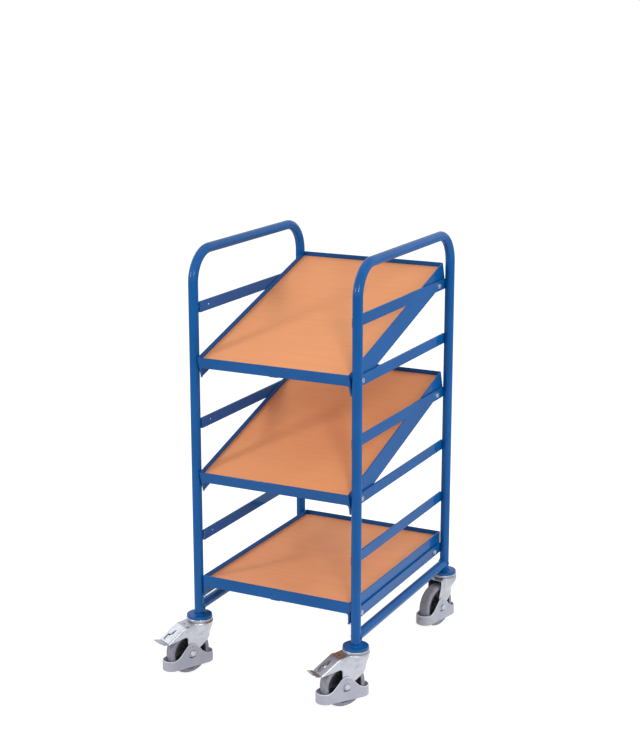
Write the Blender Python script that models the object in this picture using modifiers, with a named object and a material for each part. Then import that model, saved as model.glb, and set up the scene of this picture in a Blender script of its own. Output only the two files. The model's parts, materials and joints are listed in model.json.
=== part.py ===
"""Sloped shelf cart: two bent-tube side frames, three bolted trays with wooden panels, four swivel casters.

Metres, +Z up, low edge of the sloped trays towards -Y. The origin lies on the floor, under the middle of
the cart's own box.
"""

import math

import bmesh
import bpy
import numpy as np
from mathutils import Matrix, Vector

# Clearance kept between pieces that touch or turn on each other
GAP = 0.0003

# How finely curves are cut into facets, and what counts as one point or as a sharp edge
FILLET_STEPS = 4
SWEEP_STEPS = 4
ROUND_STEPS = 6
SAME_POINT = 0.000001
SHARP_ANGLE = math.radians(35)

# Bent-tube side frames
TUBE_RADIUS = 0.0135
TUBE_WALL = 0.002
TUBE_SIDES = 12
POST_SPACING_X = 0.482
POST_SPACING_Y = 0.618
HOOP_TOP_Z = 1.181
HOOP_BEND_RADIUS = 0.085
BEND_STEPS = 6
LOWER_TUBE_Z = 0.184

# Foot discs welded under the posts
DISC_RADIUS = 0.0353
DISC_THICKNESS = 0.007
DISC_CHAMFER = 0.0012
WELD_SIZE = 0.0035
DISC_STEPS = 16

# Flat bars welded to the inner side of the posts
BAR_TOP_Z = 1.033
BAR_PITCH = 0.160
BAR_HEIGHT = 0.030
BAR_THICKNESS = 0.005
BAR_INSET = 0.014
BAR_ABOVE_TUBE = 0.010
HOLE_FROM_POST = 0.054

# Trays, measured square to the tray from the line of its bolts
RIM_ABOVE_BOLTS = 0.046
SIDE_FLANGE = 0.060
END_FLANGE = 0.032
END_BEYOND_BOLT = 0.058
SHEET = 0.003
EAR_WIDTH = 0.014
EAR_FILLET = 0.010
LEDGE_WIDTH = 0.022
PANEL_THICKNESS = 0.010
RIM_ABOVE_PANEL = 0.013
STIFFENER_WIDTH = 0.030
STIFFENER_BELOW_FLANGE = 0.003

# Tray bolts with their nuts
BOLT_RADIUS = 0.004
BOLT_FLATS = 0.013
BOLT_HEAD = 0.0053
NUT_HEIGHT = 0.0065
BOLT_CLEARANCE = 0.0005
HOLE_SIDES = 8

# Casters: heights above the floor, trailing side towards local -Y
CASTER_HEIGHT = 0.155
WHEEL_RADIUS = 0.0625
TRAIL = 0.0405
TYRE_WIDTH = 0.032
TYRE_DEPTH = 0.0125
TYRE_SHOULDER = 0.006
HUB_LENGTH = 0.0385
HUB_RADIUS = 0.012
WEB_THICKNESS = 0.012
RIM_LIP = 0.004
WHEEL_STEPS = 18
AXLE_RADIUS = 0.005
AXLE_CLEARANCE = 0.0004
DRILL_SIDES = 10
AXLE_FLATS = 0.015
AXLE_HEAD = 0.006
STEM_RADIUS = 0.006
STEM_LENGTH = 0.030
RACE_RADIUS = 0.0365
RACE_HEIGHT = 0.008
KINGPIN_RADIUS = 0.007
RIVET_RADIUS = 0.012
RIVET_HEIGHT = 0.005
HEAD_STEPS = 12
CASTER_TURNS = {
    "front_left": math.radians(-27.7),
    "front_right": math.radians(-35.6),
    "rear_left": math.radians(-14.0),
    "rear_right": math.radians(-14.0),
}

# Pressed fork, its depths counted down from its top
FORK_SHEET = 0.0025
FORK_TOP_HALF = 0.038
FORK_STRIP_HALF = 0.0255
FORK_NOSE = 0.039
FORK_NOSE_FOOT = 0.030
FORK_NOSE_DEPTH = 0.052
FORK_EYE = 0.0092
CHEEK_ABOVE_AXLE = 0.0165
FORK_SHOULDER = 0.012
FORK_WAIST = 0.048
FORK_FALL = 0.004
FORK_LEVELS = (0, 0.16, 0.36, 0.6, 1)
HOOD_START_DROP = 0.004
HOOD_END_ABOVE_AXLE = 0.0444
HOOD_BEYOND_WHEEL = 0.011
HOOD_STEPS = 2
HOOD_SIDE_START = 0.0344
HOOD_SIDE_END = 0.003
NOTCH_RADIUS = 0.010
NOTCH_STEPS = 3
SLIT_WIDTH = 0.0025
SLIT_NEAR = 0.0045
SLIT_FAR = 0.013
SLIT_START = 0.0155
SLIT_STEP = 0.0315
SLIT_END = 0.048

# Brake pedal hinged in the hood
PEDAL_PIN_RADIUS = 0.002
PEDAL_SLEEVE = 0.0035
PEDAL_PIN_FROM_END = 0.020
PEDAL_PIN_DEPTH = 0.009
PEDAL_BELOW_HOOD = 0.0012
PEDAL_ARM_WIDTH = 0.034
PEDAL_LIP = 0.020
PEDAL_LIP_RISE = 0.006
PEDAL_LIP_WIDTH = 0.050
PEDAL_SHEET = 0.0025

# Moulded foot guard round the lower wheel
GUARD_WALL = 0.003
GUARD_FLOOR_GAP = 0.0205
GUARD_BAND = 0.029
GUARD_END_CLEAR = 0.015
GUARD_APEX_RADIUS = 0.022
GUARD_APEX_ABOVE_AXLE = 0.0041
GUARD_SLOPE = math.radians(48)
GUARD_SWEEP = 0.036
GUARD_SLOT_LENGTH = 0.010
GUARD_SLOT_HEIGHT = 0.0035

# Heights and offsets that follow from the sizes above
POST_X = POST_SPACING_X / 2
POST_Y = POST_SPACING_Y / 2
DISC_TOP_Z = CASTER_HEIGHT + DISC_THICKNESS
LOWEST_BAR_Z = LOWER_TUBE_Z + TUBE_RADIUS + BAR_ABOVE_TUBE + BAR_HEIGHT / 2
BAR_LEVELS = int((BAR_TOP_Z - LOWEST_BAR_Z) / BAR_PITCH) + 1
BAR_X = POST_X - BAR_INSET
BAR_END_Y = POST_Y - math.sqrt(TUBE_RADIUS**2 - (BAR_INSET - BAR_THICKNESS / 2) ** 2) - GAP
HOLE_Y = POST_Y - HOLE_FROM_POST
TRAY_HALF_X = BAR_X - BAR_THICKNESS / 2 - GAP
BOLT_HOLE_RADIUS = BOLT_RADIUS + BOLT_CLEARANCE
FORK_TOP_Z = CASTER_HEIGHT - GAP - RACE_HEIGHT - GAP
FORK_LOW_HALF = HUB_LENGTH / 2 + 2 * GAP + FORK_SHEET
GUARD_HALF = FORK_LOW_HALF + GAP + GUARD_WALL
AXLE_HOLE = AXLE_RADIUS + AXLE_CLEARANCE
KINGPIN_HOLE = KINGPIN_RADIUS + AXLE_CLEARANCE
GUARD_END = WHEEL_RADIUS + GUARD_END_CLEAR
FORK_END_Y = -TRAIL - FORK_EYE
BOWL_END_Y = -math.sqrt(FORK_TOP_HALF**2 - FORK_STRIP_HALF**2)
NOTCH_Y = FORK_END_Y - FORK_SHEET / 2
HOOD_START_Y = NOTCH_Y - NOTCH_RADIUS
HOOD_END_Y = -TRAIL - WHEEL_RADIUS - HOOD_BEYOND_WHEEL
HOOD_END_Z = WHEEL_RADIUS + HOOD_END_ABOVE_AXLE

# Finishes: colour, roughness, metallic
FINISHES = {
    "blue_powder_coat": ((0.004, 0.105, 0.365), 0.32, 0.0),
    "beech_board": ((0.74, 0.32, 0.16), 0.55, 0.0),
    "zinc_steel": ((0.72, 0.73, 0.75), 0.28, 1.0),
    "grey_guard": ((0.40, 0.41, 0.47), 0.5, 0.0),
    "grey_rubber": ((0.20, 0.20, 0.25), 0.65, 0.0),
    "black_rim": ((0.012, 0.012, 0.016), 0.45, 0.0),
}


def make_collection(name):
    """A new collection linked into the scene."""
    collection = bpy.data.collections.new(name)
    bpy.context.scene.collection.children.link(collection)
    return collection


def make_finish(name):
    """A Principled BSDF material with one of the named finishes."""
    colour, roughness, metallic = FINISHES[name]
    finish = bpy.data.materials.new(name)
    finish.use_nodes = True
    shader = finish.node_tree.nodes["Principled BSDF"]
    shader.inputs["Base Color"].default_value = (*colour, 1.0)
    shader.inputs["Roughness"].default_value = roughness
    shader.inputs["Metallic"].default_value = metallic
    finish.diffuse_color = (*colour, 1.0)
    return finish


for old in list(bpy.data.objects):
    bpy.data.objects.remove(old, do_unlink=True)
PARTS = make_collection("sloped_shelf_cart")
CUTTERS = make_collection("cutters")
MATERIALS = {name: make_finish(name) for name in FINISHES}


def add_empty(name, parent=None, location=(0, 0, 0), rotation=(0, 0, 0)):
    """A frame of reference that carries other objects."""
    empty = bpy.data.objects.new(name, None)
    PARTS.objects.link(empty)
    empty.parent = parent
    empty.location = location
    empty.rotation_euler = rotation
    return empty


def add_part(name, mesh, finish, parent=None, location=(0, 0, 0), rotation=(0, 0, 0)):
    """A named solid of the cart, with its finish."""
    part = bpy.data.objects.new(name, mesh)
    PARTS.objects.link(part)
    mesh.materials.clear()
    mesh.materials.append(MATERIALS[finish])
    mesh.shade_smooth()
    mesh.set_sharp_from_angle(angle=SHARP_ANGLE)
    part.parent = parent
    part.location = location
    part.rotation_euler = rotation
    return part


def add_cutter(name, mesh, parent=None, location=(0, 0, 0), rotation=(0, 0, 0)):
    """A hidden solid that a Boolean uses."""
    cutter = bpy.data.objects.new(name, mesh)
    CUTTERS.objects.link(cutter)
    cutter.hide_render = True
    cutter.display_type = "WIRE"
    cutter.parent = parent
    cutter.location = location
    cutter.rotation_euler = rotation
    return cutter


def combine(part, other, operation):
    """A Boolean of the part with another solid."""
    boolean = part.modifiers.new(f"{operation.lower()}_{other.name}", "BOOLEAN")
    boolean.operation = operation
    boolean.solver = "EXACT"
    boolean.object = other


def mesh_of(bm, name):
    """The mesh that a bmesh holds, with its faces turned outwards."""
    bmesh.ops.recalc_face_normals(bm, faces=bm.faces)
    mesh = bpy.data.meshes.new(name)
    bm.to_mesh(mesh)
    bm.free()
    return mesh


def add_box(bm, low, high):
    """Adds a box between two corners to a bmesh."""
    low, high = Vector(low), Vector(high)
    place = Matrix.Translation((low + high) / 2) @ Matrix.Diagonal((*(high - low), 1.0))
    bmesh.ops.create_cube(bm, size=1.0, matrix=place)


def box(name, low, high):
    """A box between two corners."""
    bm = bmesh.new()
    add_box(bm, low, high)
    return mesh_of(bm, name)


def add_rod(bm, radius, length, sides, centre, axis):
    """Adds a closed round rod along X or Z to a bmesh."""
    place = Matrix.Translation(centre)
    if axis == "X":
        place = place @ Matrix.Rotation(math.pi / 2, 4, "Y")
    bmesh.ops.create_cone(
        bm, cap_ends=True, segments=sides, radius1=radius, radius2=radius, depth=length, matrix=place
    )


def arc(centre, radius_a, radius_b, start, end, steps):
    """Points of an ellipse arc, angles in degrees, both ends included."""
    angles = np.radians(np.linspace(start, end, steps + 1))
    return [(centre[0] + radius_a * math.cos(t), centre[1] + radius_b * math.sin(t)) for t in angles]


def curve_mesh(name, curve):
    """The mesh of a curve, with its caps welded on."""
    holder = bpy.data.objects.new(name, curve)
    CUTTERS.objects.link(holder)
    bpy.context.view_layer.update()
    graph = bpy.context.evaluated_depsgraph_get()
    mesh = bpy.data.meshes.new_from_object(holder.evaluated_get(graph))
    bpy.data.objects.remove(holder, do_unlink=True)
    bm = bmesh.new()
    bm.from_mesh(mesh)
    bpy.data.meshes.remove(mesh)
    bmesh.ops.remove_doubles(bm, verts=bm.verts, dist=SAME_POINT)
    return mesh_of(bm, name)


def plate(name, outlines, thickness):
    """A flat outline, or one with holes in it, extruded evenly about its own plane."""
    curve = bpy.data.curves.new(name, "CURVE")
    curve.dimensions = "2D"
    curve.fill_mode = "BOTH"
    curve.extrude = thickness / 2
    for points in outlines:
        spline = curve.splines.new("POLY")
        spline.points.add(len(points) - 1)
        for point, (x, y) in zip(spline.points, points):
            point.co = (x, y, 0, 1)
        spline.use_cyclic_u = True
    return curve_mesh(name, curve)


def tube(name, path, radius, caps):
    """A round tube or rod along a path of points."""
    curve = bpy.data.curves.new(name, "CURVE")
    curve.dimensions = "3D"
    curve.bevel_depth = radius
    curve.bevel_resolution = (TUBE_SIDES - 4) // 2
    curve.use_fill_caps = caps
    spline = curve.splines.new("POLY")
    spline.points.add(len(path) - 1)
    for point, place in zip(spline.points, path):
        point.co = (*place, 1)
    return curve_mesh(name, curve)


def turned(name, profile, closed):
    """A profile of (radius, height) points, top to bottom on its outer side, ready for a Screw."""
    mesh = bpy.data.meshes.new(name)
    count = len(profile)
    edges = [(i, i + 1) for i in range(count - 1)]
    if closed:
        edges.append((count - 1, 0))
    mesh.from_pydata([(radius, 0, height) for radius, height in profile], edges, [])
    return mesh


def spin(part, steps):
    """Turns a part's profile once round its own Z axis."""
    screw = part.modifiers.new("turn", "SCREW")
    screw.axis = "Z"
    screw.angle = 2 * math.pi
    screw.steps = steps
    screw.render_steps = steps
    screw.use_merge_vertices = True
    screw.merge_threshold = SAME_POINT
    screw.use_smooth_shade = True


def stepped_rod(name, sections):
    """A rod along X through (x, size, hexagonal) sections; a hexagon's size is half its width over flats."""
    sides = 12
    bm = bmesh.new()
    rings = []
    for x, size, hexagonal in sections:
        ring = []
        for i in range(sides):
            angle = 2 * math.pi * i / sides
            corner = hexagonal and i % 2 == 1
            radius = size / math.cos(math.pi / 6) if corner else size
            ring.append(bm.verts.new((x, radius * math.cos(angle), radius * math.sin(angle))))
        rings.append(ring)
    for first, second in zip(rings, rings[1:]):
        for i in range(sides):
            j = (i + 1) % sides
            bm.faces.new((first[i], first[j], second[j], second[i]))
    bm.faces.new(rings[0])
    bm.faces.new(rings[-1])
    return mesh_of(bm, name)


def side_name(sign):
    """Left is -X, seen from the low front of the trays."""
    return "right" if sign > 0 else "left"


def end_name(sign):
    """Front is -Y, the low side of the trays."""
    return "rear" if sign > 0 else "front"


def bar_height(level):
    """Height of a bar's centre line, counted down from the top bar, which is level 1."""
    return BAR_TOP_Z - (level - 1) * BAR_PITCH


def hoop_path():
    """Centre line of a side frame in its own plane: up a post, round two bends, down the other post."""
    foot = DISC_TOP_Z - DISC_THICKNESS / 2
    bend_z = HOOP_TOP_Z - HOOP_BEND_RADIUS
    bend_y = POST_Y - HOOP_BEND_RADIUS
    front = arc((-bend_y, bend_z), HOOP_BEND_RADIUS, HOOP_BEND_RADIUS, 180, 90, BEND_STEPS)
    rear = arc((bend_y, bend_z), HOOP_BEND_RADIUS, HOOP_BEND_RADIUS, 90, 0, BEND_STEPS)
    flat = [(-POST_Y, foot), *front, *rear, (POST_Y, foot)]
    return [(0, y, z) for y, z in flat]


def build_side_frames(cart):
    """The two bent hoops, each with its foot discs welded on, and the tube low between its posts."""
    disc_profile = [
        (TUBE_RADIUS - TUBE_WALL / 2, DISC_THICKNESS + WELD_SIZE),
        (TUBE_RADIUS + WELD_SIZE, DISC_THICKNESS),
        (DISC_RADIUS - DISC_CHAMFER, DISC_THICKNESS),
        (DISC_RADIUS, DISC_THICKNESS - DISC_CHAMFER),
        (DISC_RADIUS, 0),
        (STEM_RADIUS + GAP, 0),
        (STEM_RADIUS + GAP, DISC_THICKNESS),
    ]
    half_run = POST_Y - TUBE_RADIUS / 2
    for side in (-1, 1):
        name = side_name(side)
        place = (side * POST_X, 0, 0)
        bent = tube("hoop", hoop_path(), TUBE_RADIUS, False)
        hoop = add_part(f"side_hoop_{name}", bent, "blue_powder_coat", cart, place)
        wall = hoop.modifiers.new("wall", "SOLIDIFY")
        wall.thickness = TUBE_WALL
        wall.offset = -1
        straight = tube("lower_tube", [(0, -half_run, 0), (0, half_run, 0)], TUBE_RADIUS, False)
        low_place = (side * POST_X, 0, LOWER_TUBE_Z)
        lower = add_part(f"lower_tube_{name}", straight, "blue_powder_coat", cart, low_place)
        bore = lower.modifiers.new("wall", "SOLIDIFY")
        bore.thickness = TUBE_WALL
        bore.offset = -1
        for end in (-1, 1):
            where = f"{end_name(end)}_{name}"
            foot = (side * POST_X, end * POST_Y, CASTER_HEIGHT)
            disc = add_cutter(f"foot_disc_{where}", turned("foot_disc", disc_profile, True), cart, foot)
            spin(disc, DISC_STEPS)
            combine(hoop, disc, "UNION")
            upright = [(0, 0, -2 * TUBE_RADIUS), (0, 0, 2 * TUBE_RADIUS)]
            post = tube("saddle", upright, TUBE_RADIUS + GAP, True)
            saddle_place = (side * POST_X, end * POST_Y, LOWER_TUBE_Z)
            combine(lower, add_cutter(f"saddle_{where}", post, cart, saddle_place), "DIFFERENCE")


def build_bars(cart):
    """The flat bars of both sides, and the pattern of bolt holes that bars and trays share."""
    pattern = bmesh.new()
    for level in range(1, BAR_LEVELS + 1):
        for end in (-1, 1):
            place = (0, end * HOLE_Y, bar_height(level))
            add_rod(pattern, BOLT_HOLE_RADIUS, POST_SPACING_X, HOLE_SIDES, place, "X")
    holes = add_cutter("bolt_hole_pattern", mesh_of(pattern, "bolt_hole_pattern"), cart)
    corner = Vector((BAR_THICKNESS / 2, BAR_END_Y, BAR_HEIGHT / 2))
    for side in (-1, 1):
        for level in range(1, BAR_LEVELS + 1):
            bar = add_part(
                f"bar_{side_name(side)}_{level}",
                box("bar", -corner, corner),
                "blue_powder_coat",
                cart,
                (side * BAR_X, 0, bar_height(level)),
            )
            combine(bar, holes, "DIFFERENCE")
    return holes


def tray_seats():
    """Name, front bar level and rear bar level of each tray."""
    return (("top", 2, 1), ("middle", 4, 3), ("bottom", BAR_LEVELS, BAR_LEVELS))


def rectangle(half_x, half_y):
    """Corners of a rectangle about the origin."""
    return [(-half_x, -half_y), (half_x, -half_y), (half_x, half_y), (-half_x, half_y)]


def build_tray(cart, holes, name, front_level, rear_level):
    """A welded tray on its two pairs of bolts, tilted by the bars that it hangs on, and its panel."""
    rise = bar_height(rear_level) - bar_height(front_level)
    tilt = math.atan2(rise, 2 * HOLE_Y)
    middle_z = (bar_height(rear_level) + bar_height(front_level)) / 2
    half_y = math.hypot(HOLE_Y, rise / 2) + END_BEYOND_BOLT
    seat = add_empty(f"tray_{name}_seat", cart, (0, 0, middle_z), (tilt, 0, 0))

    flange_foot = RIM_ABOVE_BOLTS - SIDE_FLANGE
    flange_middle = RIM_ABOVE_BOLTS - SIDE_FLANGE / 2
    inner_x, inner_y = TRAY_HALF_X - SHEET, half_y - SHEET
    walls = plate("tray", [rectangle(TRAY_HALF_X, half_y), rectangle(inner_x, inner_y)], SIDE_FLANGE)
    walls.transform(Matrix.Translation((0, 0, flange_middle)))
    tray = add_part(f"tray_{name}", walls, "blue_powder_coat", seat)

    # The end flanges are shallower than the side flanges and end in filleted ears.
    end_foot = RIM_ABOVE_BOLTS - END_FLANGE
    reach = TRAY_HALF_X - EAR_WIDTH
    shoulder = reach - EAR_FILLET
    below = flange_foot - SHEET
    window = [(-reach, below), (reach, below)]
    window += arc((shoulder, end_foot - EAR_FILLET), EAR_FILLET, EAR_FILLET, 0, 90, FILLET_STEPS)
    window += arc((-shoulder, end_foot - EAR_FILLET), EAR_FILLET, EAR_FILLET, 90, 180, FILLET_STEPS)
    opening = plate(f"tray_{name}_window", [window], 2 * half_y + 2 * SHEET)
    opening.transform(Matrix.Rotation(math.pi / 2, 4, "X"))
    combine(tray, add_cutter(f"tray_{name}_window", opening, seat), "DIFFERENCE")

    # A ledge all round carries the panel.
    ledge_top = RIM_ABOVE_BOLTS - RIM_ABOVE_PANEL - PANEL_THICKNESS - GAP
    outer = rectangle(TRAY_HALF_X - SHEET / 2, half_y - SHEET / 2)
    inner = rectangle(inner_x - LEDGE_WIDTH, inner_y - LEDGE_WIDTH)
    ledge = plate(f"tray_{name}_ledge", [outer, inner], SHEET)
    ledge.transform(Matrix.Translation((0, 0, ledge_top - SHEET / 2)))
    combine(tray, add_cutter(f"tray_{name}_ledge", ledge, seat), "UNION")

    # A channel under the panel, open at its top, ties the front and rear flanges.
    half_channel = STIFFENER_WIDTH / 2
    channel_foot = end_foot - STIFFENER_BELOW_FLANGE
    channel = [
        (-half_channel, channel_foot),
        (half_channel, channel_foot),
        (half_channel, ledge_top - GAP),
        (half_channel - SHEET, ledge_top - GAP),
        (half_channel - SHEET, channel_foot + SHEET),
        (SHEET - half_channel, channel_foot + SHEET),
        (SHEET - half_channel, ledge_top - GAP),
        (-half_channel, ledge_top - GAP),
    ]
    stiffener = plate(f"tray_{name}_stiffener", [channel], 2 * half_y - SHEET)
    stiffener.transform(Matrix.Rotation(math.pi / 2, 4, "X"))
    combine(tray, add_cutter(f"tray_{name}_stiffener", stiffener, seat), "UNION")
    combine(tray, holes, "DIFFERENCE")

    panel_x, panel_y = inner_x - GAP, inner_y - GAP
    panel_low = ledge_top + GAP
    panel = box("panel", (-panel_x, -panel_y, panel_low), (panel_x, panel_y, panel_low + PANEL_THICKNESS))
    add_part(f"panel_{name}", panel, "beech_board", seat)


def build_tray_bolts(cart):
    """A bolt and nut at each corner of each tray, its head outside the bar."""
    head_x = BAR_X + BAR_THICKNESS / 2 + GAP
    nut_x = TRAY_HALF_X - SHEET - GAP
    half_flats = BOLT_FLATS / 2
    sections = [
        (head_x + BOLT_HEAD, half_flats, True),
        (head_x, half_flats, True),
        (head_x, BOLT_RADIUS, False),
        (nut_x, BOLT_RADIUS, False),
        (nut_x, half_flats, True),
        (nut_x - NUT_HEIGHT, half_flats, True),
    ]
    for name, front_level, rear_level in tray_seats():
        for end, level in ((-1, front_level), (1, rear_level)):
            for side in (-1, 1):
                outward = [(side * x, size, hexagonal) for x, size, hexagonal in sections]
                add_part(
                    f"bolt_{name}_{end_name(end)}_{side_name(side)}",
                    stepped_rod("tray_bolt", outward),
                    "zinc_steel",
                    cart,
                    (0, end * HOLE_Y, bar_height(level)),
                )


def swivel_head_mesh():
    """Turned profile of the stem, the race plate, the kingpin and its riveted end."""
    race_top = CASTER_HEIGHT - GAP
    race_foot = race_top - RACE_HEIGHT
    pin_foot = FORK_TOP_Z - FORK_SHEET - GAP
    race_edge = RACE_HEIGHT / 4
    profile = [
        (0, race_top + STEM_LENGTH),
        (STEM_RADIUS, race_top + STEM_LENGTH),
        (STEM_RADIUS, race_top),
        (RACE_RADIUS, race_top),
        (RACE_RADIUS, race_foot + race_edge),
        (RACE_RADIUS - race_edge, race_foot),
        (KINGPIN_RADIUS, race_foot),
        (KINGPIN_RADIUS, pin_foot),
        (RIVET_RADIUS, pin_foot),
        (RIVET_RADIUS - RIVET_HEIGHT / 2, pin_foot - RIVET_HEIGHT),
        (0, pin_foot - RIVET_HEIGHT),
    ]
    return turned("swivel_head", profile, False)


def top_half(y):
    """Half width of the fork's top: round under the race, behind it a strip of even width."""
    under_race = math.sqrt(max(FORK_TOP_HALF**2 - y**2, 0))
    return max(under_race, FORK_STRIP_HALF)


def fork_half(y, top, z):
    """Half width of the fork outside: wide near its top, narrow at the axle, blended between."""
    share = (z - top + FORK_WAIST) / (FORK_WAIST - FORK_SHOULDER)
    share = min(max(share, 0), 1)
    return FORK_LOW_HALF + (top_half(y) - FORK_LOW_HALF) * share * share * (3 - 2 * share)


def fork_nose(z):
    """How far the half-round nose of the fork reaches ahead of the swivel axis."""
    share = min((FORK_TOP_Z - z) / FORK_NOSE_DEPTH, 1)
    return FORK_NOSE + (FORK_NOSE_FOOT - FORK_NOSE) * share


def fork_top(y, fall):
    """Height of the fork's top: level under the race, then sunk, then falling along the brake hood."""
    sunk = min(max((BOWL_END_Y - y) / (BOWL_END_Y - FORK_END_Y), 0), 1)
    slope = max((HOOD_START_Y - y) / (HOOD_START_Y - HOOD_END_Y), 0)
    return FORK_TOP_Z - fall * sunk - (FORK_TOP_Z - fall - HOOD_END_Z) * slope


def hood_top(y):
    """Height of the braked fork's top."""
    return fork_top(y, HOOD_START_DROP)


def fork_columns(braked):
    """Upright lines of the fork wall from its nose to its trailing end.

    Each is (side share, nose share, y, foot): the shares scale the half width and the nose.
    """
    nose_foot = FORK_TOP_Z - FORK_NOSE_DEPTH
    cheek_foot = WHEEL_RADIUS + CHEEK_ABOVE_AXLE
    eye_start = -TRAIL + FORK_EYE
    columns = []
    for turn in np.radians(np.linspace(90, 0, FILLET_STEPS + 1)):
        foot = cheek_foot + (nose_foot - cheek_foot) * math.sin(turn)
        columns.append((math.cos(turn), math.sin(turn), 0, foot))
    for y in (BOWL_END_Y / 2, BOWL_END_Y):
        columns.append((1, 0, y, cheek_foot - CHEEK_ABOVE_AXLE * y / eye_start))
    for y, foot in arc((-TRAIL, WHEEL_RADIUS), FORK_EYE, FORK_EYE, 360, 180, FILLET_STEPS):
        columns.append((1, 0, y, foot))
    if braked:
        notch_z = FORK_TOP_Z - HOOD_SIDE_START
        notch = arc((HOOD_START_Y, notch_z - NOTCH_RADIUS), NOTCH_RADIUS, NOTCH_RADIUS, 0, 90, NOTCH_STEPS)
        columns += [(1, 0, y, foot) for y, foot in notch]
        for share in np.linspace(0, 1, HOOD_STEPS + 1)[1:]:
            y = HOOD_START_Y + (HOOD_END_Y - HOOD_START_Y) * share
            columns.append((1, 0, y, notch_z + (HOOD_END_Z - HOOD_SIDE_END - notch_z) * share))
    return columns


def fork_mesh(braked):
    """Outer skin of the fork: two walls that meet at the nose, and the top between them."""
    bm = bmesh.new()
    fall = HOOD_START_DROP if braked else FORK_FALL
    walls = []
    for sign in (1, -1):
        wall = []
        for side, nose, y, foot in fork_columns(braked):
            top = fork_top(y, fall)
            line = []
            for level in FORK_LEVELS:
                z = top + (foot - top) * level
                line.append(bm.verts.new((sign * side * fork_half(y, top, z), y + nose * fork_nose(z), z)))
            wall.append(line)
        walls.append(wall)
        for first, second in zip(wall, wall[1:]):
            for i in range(len(FORK_LEVELS) - 1):
                bm.faces.new((first[i], second[i], second[i + 1], first[i + 1]))
    right, left = walls
    for i in range(len(right) - 1):
        bm.faces.new((left[i][0], right[i][0], right[i + 1][0], left[i + 1][0]))
    bmesh.ops.remove_doubles(bm, verts=bm.verts, dist=SAME_POINT)
    return mesh_of(bm, "fork")


def slit_outline():
    """The stepped slit in the hood, seen from above: down one side, across and down the other side."""
    start, step, end = (HOOD_START_Y - run for run in (SLIT_START, SLIT_STEP, SLIT_END))
    return [
        (SLIT_NEAR, start),
        (SLIT_NEAR, step - SLIT_WIDTH),
        (SLIT_WIDTH - SLIT_FAR, step - SLIT_WIDTH),
        (SLIT_WIDTH - SLIT_FAR, end),
        (-SLIT_FAR, end),
        (-SLIT_FAR, step),
        (SLIT_NEAR - SLIT_WIDTH, step),
        (SLIT_NEAR - SLIT_WIDTH, start),
    ]


def pedal_pin():
    """Place of the pedal's pin in the caster's own (y, z)."""
    y = HOOD_END_Y + PEDAL_PIN_FROM_END
    return y, hood_top(y) - PEDAL_PIN_DEPTH


def build_fork(caster, name, braked):
    """The pressed fork with its kingpin hole, axle eyes and, on a braked caster, the slotted hood."""
    fork = add_part(f"fork_{name}", fork_mesh(braked), "zinc_steel", caster)
    wall = fork.modifiers.new("sheet", "SOLIDIFY")
    wall.thickness = FORK_SHEET
    wall.offset = -1
    wall.use_even_offset = True
    span = 4 * FORK_TOP_HALF
    drills = bmesh.new()
    add_rod(drills, KINGPIN_HOLE, 8 * FORK_SHEET, DRILL_SIDES, (0, 0, FORK_TOP_Z), "Z")
    add_rod(drills, AXLE_HOLE, span, DRILL_SIDES, (0, -TRAIL, WHEEL_RADIUS), "X")
    if braked:
        pin_y, pin_z = pedal_pin()
        add_rod(drills, PEDAL_PIN_RADIUS + GAP, span, DRILL_SIDES, (0, pin_y, pin_z), "X")
    combine(fork, add_cutter(f"fork_drills_{name}", mesh_of(drills, "fork_drills"), caster), "DIFFERENCE")
    if braked:
        slit = plate(f"hood_slit_{name}", [slit_outline()], span)
        slit.transform(Matrix.Translation((0, 0, HOOD_END_Z)))
        combine(fork, add_cutter(f"hood_slit_{name}", slit, caster), "DIFFERENCE")


def build_brake_pedal(caster, name):
    """The pedal: a pin in the hood's sides, an arm under the hood and an upturned lip beyond it."""
    pin_y, pin_z = pedal_pin()
    hinge = add_empty(f"pedal_hinge_{name}", caster, (0, pin_y, pin_z))
    under_hood = HOOD_END_Z - FORK_SHEET - PEDAL_BELOW_HOOD - PEDAL_SHEET / 2
    elbow = Vector((-PEDAL_PIN_FROM_END, under_hood - pin_z))
    overlap = Vector((-2 * PEDAL_SHEET, 0))
    root = elbow + overlap / 2
    knee = root + Vector((-PEDAL_LIP / 2, 0))
    tip = root + Vector((-PEDAL_LIP, PEDAL_LIP_RISE))
    arm = side_plate("pedal_arm", strip([(0, 0), elbow, elbow + overlap], PEDAL_SHEET), PEDAL_ARM_WIDTH)
    pedal = add_part(f"brake_pedal_{name}", arm, "zinc_steel", hinge)
    lip = side_plate("pedal_lip", strip([root, knee, tip], PEDAL_SHEET), PEDAL_LIP_WIDTH)
    combine(pedal, add_cutter(f"pedal_lip_{name}", lip, hinge), "UNION")
    half_pin = fork_half(pin_y, hood_top(pin_y), pin_z)
    pins = bmesh.new()
    add_rod(pins, PEDAL_PIN_RADIUS, 2 * half_pin, DRILL_SIDES, (0, 0, 0), "X")
    combine(pedal, add_cutter(f"pedal_pin_{name}", mesh_of(pins, "pedal_pin"), hinge), "UNION")
    sleeve = bmesh.new()
    add_rod(sleeve, PEDAL_SLEEVE, PEDAL_ARM_WIDTH + PEDAL_SHEET, DRILL_SIDES, (0, 0, 0), "X")
    combine(pedal, add_cutter(f"pedal_sleeve_{name}", mesh_of(sleeve, "pedal_sleeve"), hinge), "UNION")


def strip(path, thickness):
    """Outline of a bent strip that follows a path evenly on both sides."""
    points = [Vector(p) for p in path]
    left, right = [], []
    for i, point in enumerate(points):
        before = points[max(i - 1, 0)]
        after = points[min(i + 1, len(points) - 1)]
        along = (after - before).normalized()
        square = Vector((-along.y, along.x)) * thickness / 2
        left.append(tuple(point + square))
        right.append(tuple(point - square))
    return left + right[::-1]


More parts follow.
